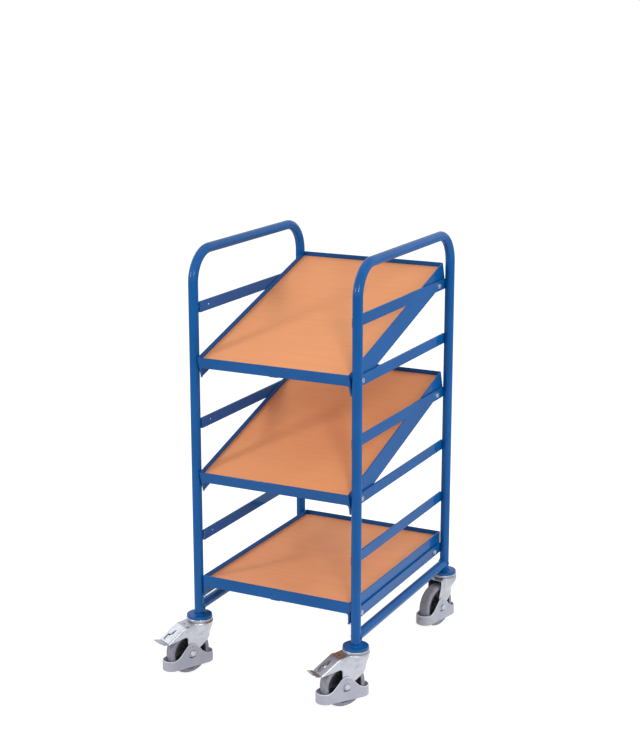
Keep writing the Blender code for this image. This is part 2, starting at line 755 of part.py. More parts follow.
def side_plate(name, outline, width):
    """An outline in (y, z), extruded evenly along X."""
    mesh = plate(name, [outline], width)
    mesh.transform(Matrix(((0, 0, 1, 0), (1, 0, 0, 0), (0, 1, 0, 0), (0, 0, 0, 1))))
    return mesh


def stadium(half_width, half_length):
    """A straight-sided loop with half-round ends, long along Y."""
    reach = half_length - half_width
    return [
        *arc((0, reach), half_width, half_width, 0, 180, ROUND_STEPS),
        *arc((0, -reach), half_width, half_width, 180, 360, ROUND_STEPS),
    ]


def build_foot_guard(axle, name):
    """The guard: a loop round the wheel, cut to a low band that sweeps up to the axle on both sides."""
    band_foot = GUARD_FLOOR_GAP - WHEEL_RADIUS
    band_top = band_foot + GUARD_BAND
    apex_z = GUARD_APEX_ABOVE_AXLE
    height = apex_z + GUARD_APEX_RADIUS - band_foot + 2 * GUARD_WALL
    inner = stadium(GUARD_HALF - GUARD_WALL, GUARD_END - GUARD_WALL)
    loop = plate("foot_guard", [stadium(GUARD_HALF, GUARD_END), inner], height)
    loop.transform(Matrix.Translation((0, 0, band_foot + height / 2 - GUARD_WALL)))
    guard = add_part(f"foot_guard_{name}", loop, "grey_guard", axle)

    beyond = GUARD_END + GUARD_WALL
    slope = math.degrees(GUARD_SLOPE)
    apex_side = GUARD_APEX_RADIUS * math.sin(GUARD_SLOPE)
    flank = apex_z + GUARD_APEX_RADIUS * math.cos(GUARD_SLOPE) - band_top
    foot_y = apex_side + flank / math.tan(GUARD_SLOPE) + GUARD_SWEEP * math.tan(GUARD_SLOPE / 2)
    sweep_z = band_top + GUARD_SWEEP
    outline = [
        (-beyond, band_foot),
        (beyond, band_foot),
        (beyond, band_top),
        *arc((foot_y, sweep_z), GUARD_SWEEP, GUARD_SWEEP, 270, 270 - slope, SWEEP_STEPS),
        *arc((0, apex_z), GUARD_APEX_RADIUS, GUARD_APEX_RADIUS, 90 - slope, 90 + slope, ROUND_STEPS),
        *arc((-foot_y, sweep_z), GUARD_SWEEP, GUARD_SWEEP, 270 + slope, 270, SWEEP_STEPS),
        (-beyond, band_top),
    ]
    silhouette = side_plate("guard_outline", outline, 4 * GUARD_HALF)
    combine(guard, add_cutter(f"guard_outline_{name}", silhouette, axle), "INTERSECT")
    drills = bmesh.new()
    add_rod(drills, AXLE_HOLE, 4 * GUARD_HALF, DRILL_SIDES, (0, 0, 0), "X")
    slot_z = -AXLE_FLATS / 2 - 2 * GUARD_SLOT_HEIGHT
    add_box(
        drills,
        (-2 * GUARD_HALF, -GUARD_SLOT_LENGTH / 2, slot_z),
        (2 * GUARD_HALF, GUARD_SLOT_LENGTH / 2, slot_z + GUARD_SLOT_HEIGHT),
    )
    combine(guard, add_cutter(f"guard_drills_{name}", mesh_of(drills, "guard_drills"), axle), "DIFFERENCE")


def build_wheel(axle, name):
    """The black rim on its hub, and the grey tyre on the rim. Their own Z lies along the axle."""
    across = (0, math.pi / 2, 0)
    half = TYRE_WIDTH / 2
    seat = WHEEL_RADIUS - TYRE_DEPTH
    rim_outer = seat - GAP
    hub = HUB_LENGTH / 2
    web = WEB_THICKNESS / 2
    bore = AXLE_HOLE
    lower = [
        (rim_outer, -half),
        (rim_outer - RIM_LIP, -half),
        (rim_outer - 2 * RIM_LIP, -web),
        (HUB_RADIUS + RIM_LIP / 2, -web),
        (HUB_RADIUS, -hub),
        (bore, -hub),
    ]
    upper = [(radius, -z) for radius, z in reversed(lower)]
    section = turned("wheel_rim", lower + upper, True)
    spin(add_part(f"wheel_rim_{name}", section, "black_rim", axle, rotation=across), WHEEL_STEPS)
    crown = [
        (WHEEL_RADIUS - TYRE_SHOULDER, half),
        (WHEEL_RADIUS - TYRE_SHOULDER / 4, half - TYRE_SHOULDER * 2 / 3),
        (WHEEL_RADIUS, half - TYRE_SHOULDER * 3 / 2),
    ]
    profile = [*crown, *[(radius, -z) for radius, z in reversed(crown)], (seat, -half), (seat, half)]
    tread = turned("tyre", profile, True)
    spin(add_part(f"tyre_{name}", tread, "grey_rubber", axle, rotation=across), WHEEL_STEPS)


def build_axle(axle, name):
    """The bolt and nut that carry wheel, fork and guard."""
    outside = GUARD_HALF + GAP
    half_flats = AXLE_FLATS / 2
    sections = [
        (outside + AXLE_HEAD, half_flats, True),
        (outside, half_flats, True),
        (outside, AXLE_RADIUS, False),
        (-outside, AXLE_RADIUS, False),
        (-outside, half_flats, True),
        (-outside - AXLE_HEAD, half_flats, True),
    ]
    add_part(f"axle_{name}", stepped_rod("axle", sections), "zinc_steel", axle)


def build_casters(cart):
    """Four swivel casters, the two at the front with brakes, each at the angle it stands at."""
    for end in (-1, 1):
        for side in (-1, 1):
            name = f"{end_name(end)}_{side_name(side)}"
            braked = end < 0
            place = (side * POST_X, end * POST_Y, 0)
            head = add_part(f"swivel_head_{name}", swivel_head_mesh(), "zinc_steel", cart, place)
            spin(head, HEAD_STEPS)
            caster = add_empty(f"caster_{name}", cart, place, (0, 0, CASTER_TURNS[name]))
            axle = add_empty(f"wheel_centre_{name}", caster, (0, -TRAIL, WHEEL_RADIUS))
            build_fork(caster, name, braked)
            build_foot_guard(axle, name)
            build_wheel(axle, name)
            build_axle(axle, name)
            if braked:
                build_brake_pedal(caster, name)


def box_of_parts():
    """Lowest and highest corner of all the pieces together."""
    bpy.context.view_layer.update()
    graph = bpy.context.evaluated_depsgraph_get()
    corners = []
    for part in PARTS.objects:
        if part.type != "MESH":
            continue
        solid = part.evaluated_get(graph)
        mesh = solid.to_mesh()
        points = np.empty(len(mesh.vertices) * 3, np.float32)
        mesh.vertices.foreach_get("co", points)
        solid.to_mesh_clear()
        world = np.array(solid.matrix_world)
        points = points.reshape(-1, 3) @ world[:3, :3].T + world[:3, 3]
        corners += [points.min(axis=0), points.max(axis=0)]
    return np.min(corners, axis=0), np.max(corners, axis=0)


def build_cart():
    """Builds every piece, then sets the origin on the floor under the middle of the cart's box."""
    cart = add_empty("cart")
    build_side_frames(cart)
    holes = build_bars(cart)
    for name, front_level, rear_level in tray_seats():
        build_tray(cart, holes, name, front_level, rear_level)
    build_tray_bolts(cart)
    build_casters(cart)
    low, high = box_of_parts()
    cart.location = (-(low[0] + high[0]) / 2, -(low[1] + high[1]) / 2, -low[2])
    bpy.context.view_layer.update()


build_cart()
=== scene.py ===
"""Sloped shelf cart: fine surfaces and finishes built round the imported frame, laid out as an add-on."""

import json
import math
from itertools import product

import bmesh
import bpy
import numpy as np
from bpy.props import FloatProperty, FloatVectorProperty, PointerProperty
from mathutils import Matrix, Vector
from mathutils.geometry import tessellate_polygon

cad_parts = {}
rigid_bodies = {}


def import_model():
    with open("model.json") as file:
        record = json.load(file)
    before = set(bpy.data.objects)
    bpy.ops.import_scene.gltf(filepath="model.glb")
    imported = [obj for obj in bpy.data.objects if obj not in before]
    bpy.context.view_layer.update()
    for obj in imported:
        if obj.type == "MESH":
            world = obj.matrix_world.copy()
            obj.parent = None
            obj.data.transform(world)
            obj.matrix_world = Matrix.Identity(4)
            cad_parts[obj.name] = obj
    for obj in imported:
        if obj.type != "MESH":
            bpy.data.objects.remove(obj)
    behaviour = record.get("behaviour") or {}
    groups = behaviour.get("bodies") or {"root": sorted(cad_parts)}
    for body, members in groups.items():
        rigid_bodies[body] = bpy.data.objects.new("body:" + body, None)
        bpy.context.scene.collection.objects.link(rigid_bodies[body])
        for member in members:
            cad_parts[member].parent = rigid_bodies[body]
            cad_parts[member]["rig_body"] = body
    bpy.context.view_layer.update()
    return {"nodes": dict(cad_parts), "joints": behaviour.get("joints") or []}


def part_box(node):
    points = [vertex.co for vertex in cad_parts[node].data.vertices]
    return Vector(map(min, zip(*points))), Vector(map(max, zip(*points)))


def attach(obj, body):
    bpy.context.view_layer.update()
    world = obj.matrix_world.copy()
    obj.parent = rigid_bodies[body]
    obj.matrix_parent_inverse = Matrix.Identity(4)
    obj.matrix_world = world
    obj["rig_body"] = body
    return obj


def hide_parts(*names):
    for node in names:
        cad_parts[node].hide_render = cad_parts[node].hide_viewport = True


bl_info = {
    "name": "Sloped shelf cart",
    "version": (1, 0, 0),
    "blender": (4, 5, 0),
    "location": "View3D > Sidebar > Cart",
    "description": "Fine surfaces and finishes of a sloped shelf cart on guarded casters",
    "category": "Object",
}

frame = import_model()
JOINTS = {joint["name"]: joint for joint in frame["joints"]}
FRONT_CORNERS, REAR_CORNERS = ("front_left", "front_right"), ("rear_left", "rear_right")
CORNERS = FRONT_CORNERS + REAR_CORNERS
TRAYS = ("top", "middle", "bottom")
SIDES = {"left": -1.0, "right": 1.0}
ENDS = {"front": -1.0, "rear": 1.0}
BAR_LEVELS = 6

# Material slots, by which the finishes are named too
COAT, BOARD, ZINC = "blue_powder_coat", "beech_board", "zinc_steel"
GUARD, RUBBER, RIM = "grey_guard", "grey_rubber", "black_rim"

# How finely surfaces are cut, and what counts as one point or a sharp edge
SAME_POINT = 1e-6
PLATE_SHARP, SKIN_SHARP, BEVEL_SHARP = math.radians(14), math.radians(38), math.radians(55)
TUBE_SIDES, BEAD_SIDES = 48, 10
BEAD_SWELL, BEAD_TIP = 0.14, 0.03
LATHE_STEPS, BEND_STEPS, CORNER_STEPS, EDGE_STEPS = 96, 28, 4, 3

# Gap between pieces that touch, play in a bore, edge radii of plates and of cutters, and a sheet's corner
GAP, BORE_PLAY = 0.0003, 0.0004
PLATE_EDGE, CUTTER_EDGE = 0.0007, 0.0002
SHEET_CORNER = 0.002


def box_middle(node):
    """Centre of a node's box."""
    low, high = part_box(node)
    return (high + low) / 2


def box_size(node):
    """Lengths of a node's box along X, Y and Z."""
    low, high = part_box(node)
    return high - low


POSTS = {corner: Vector(JOINTS[f"swivel_{corner}"]["pos_m"]) for corner in CORNERS}
MIDDLE = sum(POSTS.values(), Vector()) / len(CORNERS)
AXLE = Vector(JOINTS["wheel_spin_front_left"]["pos_m"])
TRAIL = (AXLE - POSTS["front_left"]).xy.length
BAR_SIZE = box_size("bar_left_1")


def length(name, description, default):
    """A size that a user can change."""
    return FloatProperty(name=name, description=description, unit="LENGTH", default=default)


def colour(name, description, default):
    """A colour that a user can change."""
    limits = {"size": 3, "min": 0, "max": 1}
    return FloatVectorProperty(name=name, description=description, subtype="COLOR", default=default, **limits)


class CartSizes(bpy.types.PropertyGroup):
    """Sizes of the cart's frame, trays and bolts."""

    tube_radius: length("Tube radius", "Outer radius of the tubes", box_size("lower_tube_left").x / 2)
    bend_radius: length("Bend radius", "Radius of the hoop's bends at the tube's centre line", 0.085)
    disc_radius: length("Disc radius", "Radius of the disc welded under each post", 0.0353)
    disc_thickness: length("Disc thickness", "Thickness of the disc under each post", 0.007)
    caster_height: length("Caster height", "Height of the disc's underside above the floor", 0.155)
    bead_radius: length("Weld bead", "Radius of a weld bead's section", 0.0032)
    hole_radius: length("Bolt hole", "Radius of the holes in the bars", 0.0045)
    sheet: length("Tray sheet", "Thickness of the folded tray sheet", 0.003)
    end_flange: length("End flange", "Depth of a tray's front and rear flange", 0.032)
    ear_width: length("Ear width", "Width of the ears at the ends of a tray", 0.005)
    ear_fillet: length("Ear fillet", "Radius between an ear and its flange", 0.006)
    ledge_width: length("Ledge width", "Width of the ledge that carries a panel", 0.022)
    stiffener_width: length("Stiffener width", "Width of the channel under a panel", 0.030)
    panel_thickness: length("Panel thickness", "Thickness of a wooden panel", 0.010)
    panel_below_rim: length("Rim height", "Height of a tray's rim above its panel", 0.013)
    bolt_flats: length("Bolt head", "Width over flats of a tray bolt's head", 0.013)
    bolt_radius: length("Bolt radius", "Radius of a tray bolt's shank", 0.004)


class CasterSizes(bpy.types.PropertyGroup):
    """Sizes of a caster in its own frame, which trails towards -Y."""

    wheel_radius: length("Wheel radius", "Outer radius of the tyre", AXLE.z)
    trail: length("Trail", "Distance from the swivel axis back to the axle", TRAIL)
    tyre_width: length("Tyre width", "Width of the tyre", 0.032)
    tyre_depth: length("Tyre depth", "Depth of the tyre on its rim", 0.0125)
    hub_length: length("Hub length", "Length of the hub along the axle", 0.0385)
    hub_radius: length("Hub radius", "Outer radius of the hub", 0.012)
    axle_radius: length("Axle radius", "Radius of the axle bolt", 0.005)
    axle_flats: length("Axle head", "Width over flats of the axle's head", 0.015)
    fork_top: length("Fork top", "Height of the fork's top above the floor", 0.1464)
    fork_sheet: length("Fork sheet", "Thickness of the pressed fork", 0.0025)
    fork_half: length("Fork bowl", "Radius of the fork's round top", 0.0377)
    strip_half: length("Fork strip", "Half width of the top behind the bowl", 0.0255)
    cheek_half: length("Fork cheek", "Half width of the fork at the axle", 0.02235)
    fork_edge: length("Fork edge", "Radius pressed round the fork's top edge", 0.005)
    hood_drop: length("Hood drop", "Drop of the top behind the bowl", 0.004)
    hood_reach: length("Hood reach", "Distance of the hood's end from the swivel", 0.114)
    hood_end: length("Hood end", "Height of the hood's end above the floor", 0.1069)
    guard_half: length("Guard width", "Half width of the foot guard", 0.02565)
    guard_end: length("Guard length", "Half length of the foot guard", 0.0775)
    guard_wall: length("Guard wall", "Thickness of the foot guard", 0.003)
    guard_floor: length("Guard height", "Gap between the guard and the floor", 0.0205)
    guard_band: length("Guard band", "Height of the guard's band", 0.029)


class CartColours(bpy.types.PropertyGroup):
    """Colours of the finishes, in linear light."""

    coat: colour("Powder coat", "Blue of the frame and trays", (0.0021, 0.087, 0.297))
    coat_deep: colour("Powder coat, deep", "Blue where the coat lies thicker", (0.0017, 0.076, 0.263))
    board: colour("Board", "Ground colour of the panels", (0.805, 0.334, 0.148))
    board_grain: colour("Board grain", "Darker grain of the panels", (0.700, 0.265, 0.109))
    zinc: colour("Zinc", "Bright zinc plate", (0.51, 0.53, 0.585))
    zinc_dull: colour("Zinc, dull", "Duller flow marks in the plate", (0.44, 0.455, 0.51))
    guard: colour("Guard", "Grey of the foot guards", (0.40, 0.41, 0.49))
    guard_dark: colour("Guard, dark", "Darker speckle of the foot guards", (0.34, 0.35, 0.42))
    # Painted highlight: this pale grey, mixed in along the guard's upper rim, stands in for light caught by
    # its rounded edge
    guard_rim_highlight: colour("Guard, rim", "Painted highlight along the upper rim of the foot guards", (0.64, 0.65, 0.71))
    tread: colour("Tread", "Grey of the tyres", (0.21, 0.21, 0.27))
    tread_dust: colour("Tread dust", "Paler dust on the tyres", (0.27, 0.27, 0.31))
    rim: colour("Rim", "Black of the wheel rims", (0.011, 0.012, 0.018))
    rim_scuff: colour("Rim scuff", "Paler scuffs on the rims", (0.026, 0.028, 0.038))


class StageSettings(bpy.types.PropertyGroup):
    """Camera, light and floor."""

    lens: FloatProperty(name="Lens", description="Focal length of the camera", unit="CAMERA", default=76.94)
    camera_place: FloatVectorProperty(
        name="Camera place", description="Camera from the middle of the posts on the floor",
        subtype="TRANSLATION", size=3, default=(1.8844, -3.8018, 1.8667),
    )
    camera_tilt: FloatProperty(
        name="Camera tilt", description="Angle of the view up from straight down", subtype="ANGLE",
        default=math.radians(76.276),
    )
    camera_turn: FloatProperty(
        name="Camera turn", description="Turn of the view about the vertical", subtype="ANGLE",
        default=math.radians(26.607),
    )
    sky: FloatProperty(
        name="Sky", description="Strength of the even light all round", subtype="FACTOR", default=0.65,
    )
    sky_mirrored: FloatProperty(
        name="Sky in gloss", description="Share of the white background that gloss shows", subtype="FACTOR",
        default=0.78,
    )
    floor_half: length("Floor", "Half width of the floor", 40.0)


def chain(*runs):
    """Runs of numbers or points, one after another."""
    return np.concatenate(runs)


def columns(*values):
    """Single numbers and runs of one length, side by side as points."""
    return np.column_stack(np.broadcast_arrays(*values))


def unit(vectors):
    """Vectors brought to length 1."""
    return vectors / np.linalg.norm(vectors, axis=1, keepdims=True)


def turns(steps):
    """Angles of a full turn in even steps."""
    return np.linspace(0, 2 * math.pi, steps, endpoint=False)


def smooth(share):
    """A share held between 0 and 1 and eased at both ends: 3s^2 - 2s^3."""
    share = np.clip(share, 0, 1)
    return share * share * (3 - 2 * share)


def grid(points, wrap_rows=False, wrap_columns=False):
    """Points of a grid and the quads between neighbouring rows and columns.

    A wrapped direction joins its last line to its first.
    """
    rows, across = points.shape[:2]
    i = np.arange(rows if wrap_rows else rows - 1)
    j = np.arange(across if wrap_columns else across - 1)
    i, j = np.meshgrid(i, j, indexing="ij")
    after_i, after_j = (i + 1) % rows, (j + 1) % across
    corners = (i * across + j, after_i * across + j, after_i * across + after_j, i * across + after_j)
    return points.reshape(-1, 3), np.stack(corners, axis=-1).reshape(-1, 4)


def spun(radius, height, angle, closed=False):
    """Radii and heights turned about Z: x = r cos a, y = r sin a."""
    spots = np.broadcast_arrays(radius * np.cos(angle), radius * np.sin(angle), height)
    return grid(np.stack(spots, axis=-1), True, closed)


def lathe(profile, steps=LATHE_STEPS, closed=False):
    """A profile of (radius, height) points turned about Z."""
    radius, height = np.transpose(profile)
    return spun(radius, height, turns(steps)[:, None], closed)


def rod(radius, low, high, steps):
    """A closed round bar along Z."""
    return lathe([(0, low), (radius, low), (radius, high), (0, high)], steps)


def tube(path, radius, across, sides=TUBE_SIDES, closed=False):
    """A round section carried along a path.

    The section's own axes are the path's direction crossed with a given vector, and that vector's part
    square to the path.
    """
    ahead = unit(np.roll(path, -1, 0) - np.roll(path, 1, 0) if closed else np.gradient(path, axis=0))
    side = unit(np.cross(ahead, across))
    lift = np.cross(side, ahead)
    turn = turns(sides)[None, :, None]
    radius = np.broadcast_to(radius, len(path))[:, None, None]
    ring = np.cos(turn) * side[:, None] + np.sin(turn) * lift[:, None]
    return grid(path[:, None] + radius * ring, closed, True)


def bead(path, radius, across, ripple, closed=False):
    """A weld bead: a thin tube whose radius swells and shrinks with each ripple and tapers at open ends."""
    run = chain([0], np.cumsum(np.linalg.norm(np.diff(path, axis=0), axis=1)))
    swell = radius * (1 - BEAD_SWELL + BEAD_SWELL * np.cos(2 * math.pi * run / ripple))
    if not closed:
        swell = swell * np.clip(np.minimum(run, run[-1] - run) / radius, BEAD_TIP, 1) ** 0.5
    return tube(path, swell, across, BEAD_SIDES, closed)


def arc(centre, radius, start, end, steps):
    """Points of an arc in a plane, angles in degrees, both ends included; two radii make an ellipse's arc."""
    turn = np.radians(np.linspace(start, end, steps + 1))
    return centre + radius * columns(np.cos(turn), np.sin(turn))


def rectangle(half_x, half_y, corner=SHEET_CORNER):
    """An anticlockwise rectangle about the origin with rounded corners."""
    x, y = half_x - corner, half_y - corner
    middles = ((x, -y), (x, y), (-x, y), (-x, -y))
    return chain(*(arc(spot, corner, 90 * i - 90, 90 * i, CORNER_STEPS) for i, spot in enumerate(middles)))


def mirrored(right):
    """Half an outline, followed by its mirror image."""
    return chain(right, right[::-1] * (-1, 1))


def inset(loop, distance):
    """A closed loop moved to its left, each corner mitred so that both its edges move by the distance."""
    edge = unit(np.roll(loop, -1, 0) - loop)
    left = np.stack([-edge[:, 1], edge[:, 0]], axis=1)
    before = np.roll(left, 1, 0)
    return loop + distance * (left + before) / (1 + (left * before).sum(axis=1, keepdims=True))


def plate(loops, thickness, edge=PLATE_EDGE):
    """A flat plate in XY with rounded edges.

    The first loop is the outline, anticlockwise, and the others are holes, clockwise. The rounding is a
    quarter circle: a loop's inset is edge (1 - cos a) where its height is edge sin a above the wall.
    """
    turn = np.radians(np.linspace(0, 90, EDGE_STEPS + 1))
    rise = thickness / 2 - edge + edge * np.sin(turn)
    cut = edge * (1 - np.cos(turn))
    section = list(zip(chain(cut[::-1], cut), chain(-rise[::-1], rise)))
    walls = [np.stack([columns(*inset(loop, c).T, h) for c, h in section]) for loop in loops]
    face = [columns(*inset(loop, edge).T, 0) for loop in loops]
    triangles = np.array(tessellate_polygon([list(map(Vector, loop.tolist())) for loop in face]))
    ends = [(chain(*face) + (0, 0, height), triangles) for height in (-thickness / 2, thickness / 2)]
    return [grid(wall, False, True) for wall in walls] + ends


def moved(surfaces, place):
    """Surfaces carried by a matrix."""
    turn = np.array(place.to_3x3())
    shift = np.array(place.translation)
    return [(points @ turn.T + shift, faces) for points, faces in surfaces]


def at(x, y, z):
    """The matrix of a shift."""
    return Matrix.Translation((x, y, z))


def axes(x, y, z, origin=(0, 0, 0)):
    """The matrix whose columns are the given axes and origin."""
    place = Matrix.Identity(4)
    place.col[0][:3], place.col[1][:3], place.col[2][:3] = x, y, z
    place.translation = origin
    return place


# Planes that a plate or a turned piece is laid into: its own X, Y and Z become these axes
FACING_X = axes((0, 1, 0), (0, 0, 1), (1, 0, 0))
FACING_Y = axes((1, 0, 0), (0, 0, 1), (0, -1, 0))
ALONG_AXLE = axes((0, 0, 1), (0, -1, 0), (1, 0, 0))
HALF_TURN = Matrix.Rotation(math.pi, 4, "X")


def smoothed(mesh, sharp=SKIN_SHARP):
    """The mesh shaded smooth, but for edges sharper than an angle."""
    mesh.shade_smooth()
    mesh.set_sharp_from_angle(angle=sharp)
    return mesh


def mesh_from(surfaces, sharp=SKIN_SHARP):
    """One mesh of several surfaces, with shared points merged and faces turned outwards."""
    shifts = np.cumsum([0] + [len(points) for points, _ in surfaces])
    faces = [face for (_, quads), shift in zip(surfaces, shifts) for face in (quads + shift).tolist()]
    mesh = bpy.data.meshes.new("surface")
    mesh.from_pydata(chain(*(points for points, _ in surfaces)), [], faces)
    bm = bmesh.new()
    bm.from_mesh(mesh)
    bmesh.ops.remove_doubles(bm, verts=bm.verts, dist=SAME_POINT)
    bmesh.ops.dissolve_degenerate(bm, edges=bm.edges, dist=SAME_POINT)
    bmesh.ops.recalc_face_normals(bm, faces=bm.faces)
    bm.to_mesh(mesh)
    bm.free()
    return smoothed(mesh, sharp)


def joined(*meshes):
    """Meshes in one, each keeping its own faces."""
    bm = bmesh.new()
    for mesh in meshes:
        bm.from_mesh(mesh)
    whole = bpy.data.meshes.new("joined")
    bm.to_mesh(whole)
    bm.free()
    return smoothed(whole)


def linked(name, data):
    """A new object in the scene."""
    made = bpy.data.objects.new(name, data)
    bpy.context.scene.collection.objects.link(made)
    return made


def modify(holder, kind, **settings):
    """Puts a modifier with its settings on an object."""
    modifier = holder.modifiers.new(kind, kind)
    for key, value in settings.items():
        setattr(modifier, key, value)


def finished(mesh, cutters=(), sheet=0.0, edge=0.0):
    """The mesh after a sheet thickness, cuts and rounded edges, made by modifiers that are then applied."""
    holder = linked("holder", mesh)
    tools = [linked("cutter", mesh_from(surfaces)) for surfaces in cutters]
    if sheet:
        modify(holder, "SOLIDIFY", thickness=sheet, offset=-1, use_even_offset=True)
    for tool in tools:
        modify(holder, "BOOLEAN", operation="DIFFERENCE", solver="EXACT", object=tool)
    if edge:
        limit = {"limit_method": "ANGLE", "angle_limit": BEVEL_SHARP}
        modify(holder, "BEVEL", width=edge, segments=2, harden_normals=False, **limit)
    bpy.context.view_layer.update()
    graph = bpy.context.evaluated_depsgraph_get()
    made = bpy.data.meshes.new_from_object(holder.evaluated_get(graph))
    for helper in (*tools, holder):
        bpy.data.objects.remove(helper, do_unlink=True)
    return smoothed(made)


def add_piece(node, mesh, finish, place=None):
    """An object that stands for a CAD node, rides on its body and takes its slot's finish."""
    if place is not None:
        mesh = mesh.copy()
        mesh.transform(place)
    mesh.name = f"{node}_skin"
    mesh.materials.clear()
    mesh.materials.append(bpy.data.materials[finish])
    piece = linked(f"{node}_skin", mesh)
    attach(piece, frame["nodes"][node]["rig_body"])
    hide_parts(node)


class Term:
    """A socket in a shader's sums: arithmetic on it adds Math nodes to its tree."""

    def __init__(self, nodes, socket):
        self.nodes = nodes
        self.socket = socket

    def math(self, operation, first, second):
        """A Math node of two numbers or terms."""
        return self.nodes.node("ShaderNodeMath", {0: first, 1: second}, operation=operation)

    def __add__(self, other):
        return self.math("ADD", self, other)

    def __sub__(self, other):
        return self.math("SUBTRACT", self, other)

    def __rsub__(self, other):
        return self.math("SUBTRACT", other, self)

    def __mul__(self, other):
        return self.math("MULTIPLY", self, other)

    __radd__ = __add__
    __rmul__ = __mul__


class Nodes:
    """A node tree in the making."""

    def __init__(self, tree):
        self.tree = tree

    def feed(self, socket, value):
        """Links a term to a socket, or sets a plain value on it."""
        if isinstance(value, Term):
            self.tree.links.new(value.socket, socket)
        else:
            socket.default_value = value

    def node(self, kind, sockets=None, output=0, **settings):
        """A node with its settings made first, then its sockets fed; returns one of its outputs."""
        node = self.tree.nodes.new(kind)
        for key, value in settings.items():
            setattr(node, key, value)
        for key, value in (sockets or {}).items():
            self.feed(node.inputs[key], value)
        return Term(self, node.outputs[output])

    def ray_share(self, gloss):
        """1 for rays seen directly or through glass, a share for mirrored ones, 0 for falling light."""
        share = self.node("ShaderNodeLightPath", output="Is Glossy Ray") * gloss
        for name in ("Is Camera Ray", "Is Transmission Ray"):
            share = share.math("MAXIMUM", share, self.node("ShaderNodeLightPath", output=name))
        return share


class Finish(Nodes):
    """A material in the making: its Principled shader and the nodes that feed it."""

    def __init__(self, name, **constants):
        old = bpy.data.materials.get(name)
        if old:
            old.name = f"{name}_plain"
        self.material = bpy.data.materials.new(name)
        self.material.use_nodes = True
        super().__init__(self.material.node_tree)
        self.shader = self.tree.nodes["Principled BSDF"]
        self.set(**constants)

    def set(self, **values):
        """Feeds the shader's sockets, whose names have _ for a space here."""
        for socket, value in values.items():
            self.feed(self.shader.inputs[socket.replace("_", " ")], value)

    def noise(self, scale, detail=2.0, roughness=0.5, stretch=(1, 1, 1)):
        """Smooth noise between about 0.3 and 0.7, on stretched object coordinates."""
        spot = self.node("ShaderNodeTexCoord", output="Object")
        where = self.node("ShaderNodeMapping", {"Vector": spot, "Scale": stretch})
        sockets = {"Vector": where, "Scale": scale, "Detail": detail, "Roughness": roughness}
        return self.node("ShaderNodeTexNoise", sockets)

    def between(self, value, low, high):
        """A value eased from 0 at low to 1 at high, and held there."""
        sockets = {"Value": value, "From Min": low, "From Max": high}
        return self.node("ShaderNodeMapRange", sockets, interpolation_type="SMOOTHSTEP")

    def mix(self, first, second, share):
        """Two colours mixed by a share."""
        first, second = (tint if isinstance(tint, Term) else (*tint, 1.0) for tint in (first, second))
        return self.node("ShaderNodeMix", {0: share, 6: first, 7: second}, 2, data_type="RGBA")

    def bump(self, height, strength, distance):
        """A bump on the shader's normal: its height is a share of a distance in metres."""
        sockets = {"Height": height, "Strength": strength, "Distance": distance}
        self.set(Normal=self.node("ShaderNodeBump", sockets))


def make_powder_coat(colours):
    """Gloss powder coat: slow flow in colour and gloss, fine orange peel in its surface."""
    finish = Finish(COAT, Specular_IOR_Level=0.05, Coat_Weight=0.38, Coat_Roughness=0.05)
    flow = finish.between(finish.noise(7.0, 3.0), 0.35, 0.65)
    peel = finish.noise(520.0)
    finish.set(Base_Color=finish.mix(colours.coat_deep, colours.coat, flow))
    finish.set(Roughness=0.27 + 0.06 * flow + 0.08 * peel)
    finish.bump(peel, 0.10, 0.0004)


def make_board(colours):
    """Beech-grained board: long soft grain across the cart, with short dark flecks along it."""
    finish = Finish(BOARD, Specular_IOR_Level=0.12)
    grain = finish.noise(2.0, 6.0, 0.62, (3.0, 42.0, 42.0))
    cloud = finish.noise(4.5, 3.0)
    fleck = finish.between(finish.noise(1.0, stretch=(70.0, 520.0, 520.0)), 0.60, 0.72)
    streak = finish.between(0.72 * grain + 0.28 * cloud, 0.36, 0.64)
    ground = finish.mix(colours.board, colours.board_grain, 0.24 * streak)
    finish.set(Base_Color=finish.mix(ground, colours.board_grain, 0.22 * fleck))
    finish.set(Roughness=0.42 + 0.10 * streak + 0.08 * fleck)
    finish.bump(grain - 0.5 * fleck, 0.05, 0.0003)


def make_zinc(colours):
    """Bright zinc plate: cloudy dull patches, fine drawn lines and a faintly uneven surface."""
    finish = Finish(ZINC, Metallic=1.0)
    cloud = finish.between(finish.noise(46.0, 4.0), 0.36, 0.66)
    drawn = finish.noise(1.0, 3.0, stretch=(90.0, 90.0, 1400.0))
    finish.set(Base_Color=finish.mix(colours.zinc, colours.zinc_dull, 0.5 * cloud))
    finish.set(Roughness=0.28 + 0.06 * cloud + 0.08 * drawn)
    finish.bump(0.3 * cloud + 0.7 * drawn, 0.04, 0.0003)


def make_guard(colours):
    """Moulded grey plastic with a fine pebbled grain, and a painted highlight that turns it pale along its
    upper rim.
    """
    finish = Finish(GUARD)
    pebble = finish.noise(1500.0)
    cloud = finish.between(finish.noise(32.0, 3.0), 0.35, 0.65)
    ground = finish.mix(colours.guard, colours.guard_dark, 0.5 * cloud + 0.35 * pebble)
    # Painted highlight: the ground is mixed towards the pale rim colour just under the guard's upper edge
    rim = finish.node("ShaderNodeAttribute", output="Fac", attribute_name=GUARD_RIM_HIGHLIGHT)
    finish.set(Base_Color=finish.mix(ground, colours.guard_rim_highlight, rim))
    finish.set(Roughness=0.40 + 0.16 * pebble + 0.06 * cloud)
    finish.bump(pebble, 0.22, 0.0003)


def make_tread(colours):
    """Non-marking rubber: matte, with paler dust and a fine skin."""
    finish = Finish(RUBBER)
    dust = finish.between(finish.noise(85.0, 5.0, 0.6), 0.40, 0.68)
    skin = finish.noise(1900.0)
    finish.set(Base_Color=finish.mix(colours.tread, colours.tread_dust, dust))
    finish.set(Roughness=0.52 + 0.16 * dust + 0.10 * skin)
    finish.bump(skin + 0.4 * dust, 0.20, 0.0003)


